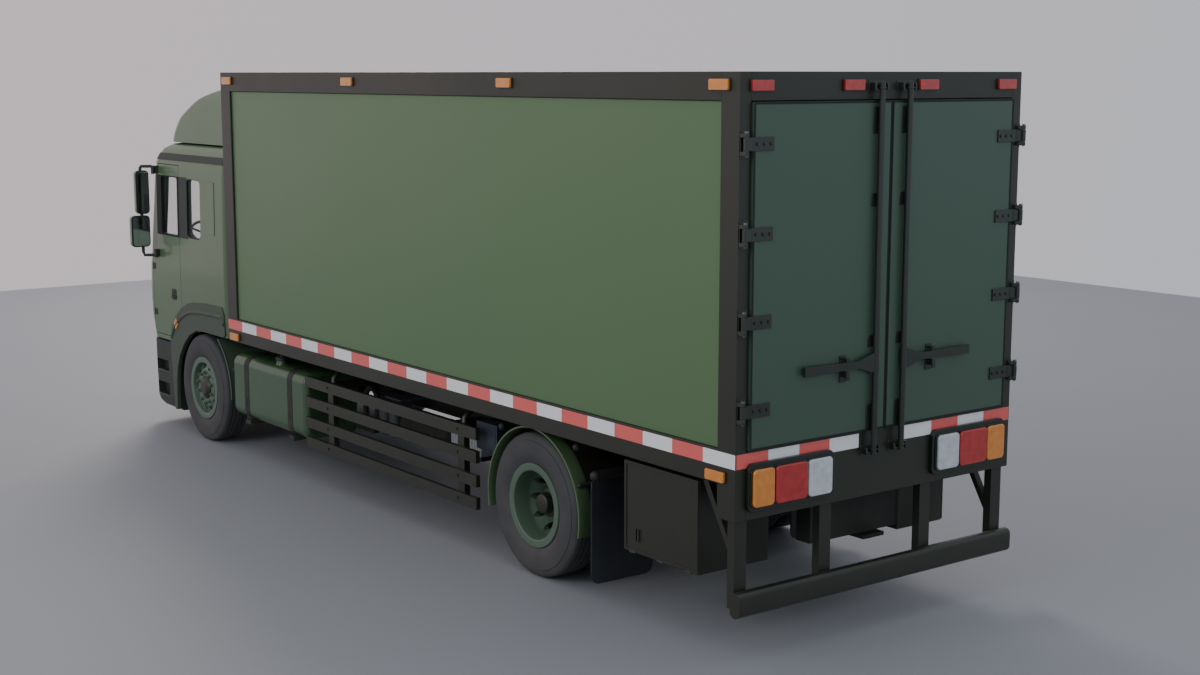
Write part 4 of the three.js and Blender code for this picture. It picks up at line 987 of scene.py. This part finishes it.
low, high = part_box("fuel_cap")
cap_x, cap_y = (low.x + high.x) / 2, (low.y + high.y) / 2 - BACK
bottle(cap, (cap_x, cap_y, low.z), (cap_x, cap_y, high.z),
       [(0.0, 0.052), (0.003, 0.057), (0.026, 0.057), (0.032, 0.054), (0.033, 0.030), (0.044, 0.028)])
for i in range(12):
    t = math.radians(30 * i)
    x, y = cap_x + 0.0555 * math.cos(t), cap_y + 0.0555 * math.sin(t)
    cap.rod((x, y, low.z + 0.004), (x, y, low.z + 0.025), 0.0024, sides=8)
cap.slab((cap_x - 0.040, cap_x + 0.040), (cap_y - 0.008, cap_y + 0.008), (low.z + 0.032, low.z + 0.0445))
cap.stands_for("fuel_cap", bevel=0.0008, steps=1, sharp=30)

for name, side in SIDES:
    body = BODY_OF[f"mirror_{name}"]
    heads, gaskets, glasses, arms = Form(side), Form(side), Form(side), Form(side)
    layers = (
        (heads, 0.0, ((-8.990, 0.030), (-8.984, 0.014), (-8.970, 0.004), (-8.950, 0.0), (-8.912, 0.0))),
        (gaskets, 0.003, ((-8.914, 0.0), (-8.904, 0.0), (-8.9015, 0.003))),
        (glasses, 0.013, ((-8.905, 0.0), (-8.9005, 0.0))),
    )
    for x, z in (((1.250, 1.390), (2.162, 2.600)), ((1.255, 1.450), (1.830, 2.148))):
        for form, inset, depth in layers:
            rings = []
            for y, draw in depth:
                outline = rounded((x[0] + inset + draw, x[1] - inset - draw),
                                  (z[0] + inset + draw, z[1] - inset - draw), 0.042 - inset - draw / 2, 8)
                rings.append([(a, y, b) for a, b in outline])
            form.skin(rings)
    for z, out, turn in ((2.605, 2.640, 2.590), (1.762, 1.745, 1.842)):
        arms.rod((1.216, -8.880, z - 0.042), (1.216, -8.880, z + 0.042), 0.019)
        arms.tube([(1.216, -8.880, z), (1.216, -8.881, (z + 2 * out) / 3), (1.228, -8.888, out),
                   (1.270, -8.915, out), (1.312, -8.942, out), (1.322, -8.948, (turn + 2 * out) / 3),
                   (1.322, -8.948, turn)], 0.016)
    arms.rod((1.322, -8.948, 2.140), (1.322, -8.948, 2.170), 0.016)
    heads.stands_for(f"mirror_{name}", sharp=40)
    gaskets.piece(f"mirror_gaskets_{name}", body, "trim_black", "seal")
    glasses.piece(f"mirror_glasses_{name}", body, "glass", "mirror_glass")
    arms.piece(f"mirror_arms_{name}", body, "trim_black", sharp=35)
    brackets = Form(side)
    for z in (2.605, 1.762):
        brackets.slab((1.150, 1.186), (-8.935, -8.865), (z - 0.040, z + 0.040))
        brackets.slab((1.184, 1.1955), (-8.900, -8.868), (z - 0.030, z + 0.030))
    brackets.piece(f"mirror_brackets_{name}", f"cab_door_{name}", "trim_black", bevel=0.004)
for name in ("left", "right"):
    dressed(f"wiper_{name}", 0.0015, steps=1)


def sign_power(value, power):
    return math.copysign(abs(value) ** power, value)


def cushion(centre, size, lean, crown, seams):
    """Upholstered pad: a full rounded block, crowned in the middle and drawn in along its seams."""
    rings = []
    for i in range(41):
        across = math.radians(-88 + 176 * i / 40)
        reach, x = sign_power(math.cos(across), 0.32), sign_power(math.sin(across), 0.32)
        pull = sum(0.09 * math.exp(-((x - seam) / 0.035) ** 2) for seam in seams)
        ring = []
        for k in range(48):
            turn = 2 * math.pi * k / 48
            y, z = sign_power(math.cos(turn), 0.36) * reach, sign_power(math.sin(turn), 0.36) * reach
            swell = crown * (1 - x * x) * (1 - y * y) * (1 if z > 0 else 0)
            deep = size[1] / 2 * y
            high = size[2] / 2 * z * (1 - pull) + swell
            ring.append((centre[0] + size[0] / 2 * x,
                         centre[1] + deep * math.cos(lean) - high * math.sin(lean),
                         centre[2] + deep * math.sin(lean) + high * math.cos(lean)))
        rings.append(ring)
    return Form().skin(rings)


seat_body, seat_slot = BODY_OF["driver_seat"], SLOT_OF["driver_seat"]
frame_piece = Form().slab((0.585, 0.935), (-8.250, -7.950), (1.246, 1.300))
frame_piece.slab((0.620, 0.900), (-8.200, -7.990), (1.296, 1.440))
for i in range(5):
    frame_piece.slab((0.612, 0.908), (-8.208, -7.982), (1.310 + 0.026 * i, 1.322 + 0.026 * i))
frame_piece.slab((0.545, 0.975), (-8.300, -7.850), (1.440, 1.478))
frame_piece.slab((0.560, 0.960), (-7.900, -7.850), (1.440, 1.600))
frame_piece.rod((0.530, -7.900, 1.560), (0.990, -7.900, 1.560), 0.022)
frame_piece.stands_for("driver_seat", look="trim_black", bevel=0.004)
back_lean = math.atan2(2.280 - 1.590, 0.190)
for label, centre, size, lean, crown in (
        ("cushion", (0.760, -8.075, 1.540), (0.480, 0.500, 0.115), math.radians(3), 0.016),
        ("back", (0.760, -7.816, 1.880), (0.460, 0.580, 0.105), back_lean + math.pi, 0.0),
        ("headrest", (0.760, -7.742, 2.210), (0.300, 0.130, 0.085), back_lean + math.pi, 0.0)):
    soft = cushion(centre, size, lean, crown, () if label == "headrest" else (-0.66, 0.66))
    soft = soft.piece(f"driver_{label}", seat_body, seat_slot, "seat_fabric", sharp=70)

wheel_joint = next(j for j in RECORD["behaviour"]["joints"] if j["child"] == BODY_OF["steering_wheel"])
normal = Vector(wheel_joint["axis"]).normalized()
if normal.z < 0:
    normal = -normal
hub = Vector((0.620, -8.890, 1.930))
across = Vector((1.0, 0.0, 0.0))
over = normal.cross(across).normalized()
WHEEL_RADIUS, GRIP_RADIUS = 0.198, 0.0155
grip = Form()
rings = []
for i in range(72):
    t = 2 * math.pi * i / 72
    out = math.cos(t) * across + math.sin(t) * over
    rings.append([hub + out * (WHEEL_RADIUS + GRIP_RADIUS * math.cos(p)) + normal * GRIP_RADIUS * math.sin(p)
                  for p in [2 * math.pi * k / 14 for k in range(14)]])
grip.skin(rings, round_again=True)
for degrees in (90, 210, 330):
    out = math.cos(math.radians(degrees)) * across + math.sin(math.radians(degrees)) * over
    grip.tube([hub + out * 0.03 - normal * 0.012, hub + out * 0.11 - normal * 0.010, hub + out * 0.19], 0.011)
bottle(grip, hub - normal * 0.030, hub + normal * 0.02,
       [(0.0, 0.030), (0.004, 0.050), (0.030, 0.058), (0.042, 0.052), (0.047, 0.030)])
grip.stands_for("steering_wheel", look="trim_black", sharp=50)

dash_outline = [(-9.195, 1.520), (-9.060, 1.520), (-8.985, 1.600), (-8.990, 1.690), (-9.030, 1.735),
                (-9.195, 1.730)]
dash = Form().prism("x", dash_outline, (-1.02, -0.4, 0.4, 1.02))
dash.prism("x", [(-9.10, 1.72), (-8.985, 1.70), (-9.010, 1.790), (-9.060, 1.800)], (0.40, 0.62, 0.84))
for x in (-0.78, -0.26, 0.12, 0.92):
    dash.slab((x - 0.075, x + 0.075), (-8.992, -8.980), (1.630, 1.668))
dash.piece("dashboard", "cab", "trim_black", "lining", bevel=0.008)

# Air tank, filters, battery and valve boxes behind the left guard; silencer on the right.
air = bottle(Form(), (0.700, -4.750, 0.640), (0.700, -3.950, 0.640), domed(0.800, 0.129))
for y in (-4.55, -4.15):
    bottle(air, (0.700, y - 0.020, 0.640), (0.700, y + 0.020, 0.640), [(0.0, 0.1305), (0.040, 0.1305)])
air.stands_for("air_tank", sharp=35)
filters, pipes = Form(), Form()
filter_head = [(0.0, 0.066), (0.010, 0.070), (0.055, 0.070), (0.070, 0.045)]
for y in (-5.100, -4.930):
    bottle(filters, (0.735, y, 0.480), (0.735, y, 0.800), domed(0.250, 0.062, 0.02))
    bottle(filters, (0.735, y, 0.730), (0.735, y, 0.800), filter_head)
filters.slab((0.440, 0.720), (-5.150, -4.880), (0.790, 0.812))
filters.piece("fuel_filters", "chassis", "chassis_black", "case_grey", bevel=0.002, steps=1)
arch_pipe = [(0.720, -5.480, 0.520)] + [(0.720, y, z) for y, z in arc((-5.375, 0.740), 0.105, 180, 0, 12)]
pipes.tube(arch_pipe + [(0.720, -5.270, 0.560)], 0.026, 16)
for y, z in ((-5.480, 0.540), (-5.270, 0.580)):
    pipes.rod((0.720, y, z - 0.020), (0.720, y, z + 0.020), 0.032)
pipes.slab((0.500, 0.790), (-5.520, -5.230), (0.470, 0.530))
pipes.slab((0.430, 0.510), (-5.420, -5.330), (0.480, 0.840))
pipes.piece("valve_block_and_pipe", "chassis", "chassis_black", bevel=0.004)
battery, lids = Form(), Form()
battery.slab((0.560, 0.850), (-3.860, -3.420), (0.600, 0.790))
for i in range(11):
    battery.slab((0.846, 0.856), (-3.846 + 0.040 * i, -3.828 + 0.040 * i), (0.612, 0.780))
battery.piece("battery", "chassis", "chassis_black", "case_white", bevel=0.003, steps=1)
lids.slab((0.556, 0.854), (-3.864, -3.416), (0.790, 0.822))
lids.slab((0.435, 0.860), (-3.880, -3.400), (0.570, 0.600))
for y in (-3.78, -3.50):
    lids.rod((0.800, y, 0.820), (0.800, y, 0.842), 0.014)
lids.slab((0.435, 0.560), (-3.880, -3.400), (0.600, 0.660))
lids.piece("battery_tray_and_lid", "chassis", "chassis_black", "dark_box", bevel=0.003)
box = Form().slab((0.960, 1.090), (-3.110, -2.830), (0.770, 0.980))
box.slab((0.430, 0.970), (-3.020, -2.940), (0.830, 0.900))
box.slab((1.086, 1.094), (-3.090, -2.850), (0.790, 0.960))
box.piece("valve_box", "chassis", "chassis_black", "case_blue", bevel=0.008)

muffler = bottle(Form(), (-0.800, -6.850, 0.660), (-0.800, -5.950, 0.660), domed(0.900, 0.190, 0.04))
for y in (-6.70, -6.10):
    bottle(muffler, (-0.800, y - 0.020, 0.660), (-0.800, y + 0.020, 0.660), [(0.0, 0.193), (0.040, 0.193)])
    muffler.slab((-0.790, -0.435), (y - 0.020, y + 0.020), (0.840, 0.862))
muffler.tube([(-0.760, -5.980, 0.640), (-0.760, -5.860, 0.640), (-0.790, -5.790, 0.620),
              (-0.860, -5.755, 0.590), (-1.000, -5.745, 0.560), (-1.120, -5.740, 0.540)], 0.042, 20)
muffler.piece("silencer", "chassis", "engine_iron", bevel=0.0015, steps=1)


# ---- stage, lights and camera ----
FLOOR_HALF = 16.03
CAMERA = Vector((7.7628, 11.9584, 3.5531))
LOOK_ALONG = Vector((-0.5934, -0.7898, -0.1554))
LENS = 50.2
floor_mesh = bpy.data.meshes.new("floor")
corners = [(a * FLOOR_HALF, b * FLOOR_HALF, 0.0) for a, b in ((-1, -1), (1, -1), (1, 1), (-1, 1))]
floor_mesh.from_pydata(corners, [], [(0, 1, 2, 3)])
floor_look = Look("pale_floor", rgb(148, 149, 154), 0.6, spread=0.02, scale=0.2, grain=8.0, bump=0.01)
floor_mesh.materials.append(floor_look.material)
floor = bpy.data.objects.new("floor", floor_mesh)
bpy.context.scene.collection.objects.link(floor)


def soft_light(name, place, target, size, power, colour):
    data = bpy.data.lights.new(name, "AREA")
    data.shape = "DISK"
    data.size = size
    data.energy = power
    data.color = colour
    light = bpy.data.objects.new(name, data)
    light.location = place
    light.rotation_euler = (Vector(target) - Vector(place)).to_track_quat("-Z", "Y").to_euler()
    bpy.context.scene.collection.objects.link(light)


soft_light("key", (-7.0, -15.0, 12.0), (0.0, 0.0, 1.0), 7.0, 1500.0, (1.0, 0.95, 0.9))
soft_light("side_fill", (17.0, 2.0, 9.0), (0.0, 0.0, 1.5), 10.0, 800.0, (0.97, 1.0, 0.98))
soft_light("rear_fill", (3.0, 20.0, 9.0), (0.0, 4.0, 1.5), 8.0, 350.0, (0.95, 0.98, 1.0))

world = bpy.data.worlds.new("studio")
world.use_nodes = True
bpy.context.scene.world = world
tree = world.node_tree
direction = tree.nodes.new("ShaderNodeTexCoord").outputs["Generated"]
towards_glow = tree.nodes.new("ShaderNodeVectorMath")
towards_glow.operation = "DOT_PRODUCT"
towards_glow.inputs[1].default_value = (0.25, -0.95, 0.15)
tree.links.new(direction, towards_glow.inputs[0])
ramp = tree.nodes.new("ShaderNodeValToRGB")
ramp.color_ramp.elements[0].position = 0.0
ramp.color_ramp.elements[0].color = (*rgb(176, 184, 193), 1.0)
ramp.color_ramp.elements[1].position = 0.95
ramp.color_ramp.elements[1].color = (*rgb(204, 192, 195), 1.0)
tree.links.new(towards_glow.outputs["Value"], ramp.inputs["Fac"])
tree.links.new(ramp.outputs["Color"], tree.nodes["Background"].inputs["Color"])
tree.nodes["Background"].inputs["Strength"].default_value = 1.2

camera_data = bpy.data.cameras.new("camera")
camera_data.lens = LENS
camera_data.sensor_width = 36.0
camera = bpy.data.objects.new("camera", camera_data)
camera.location = CAMERA
camera.rotation_euler = LOOK_ALONG.to_track_quat("-Z", "Y").to_euler()
bpy.context.scene.collection.objects.link(camera)
bpy.context.scene.camera = camera
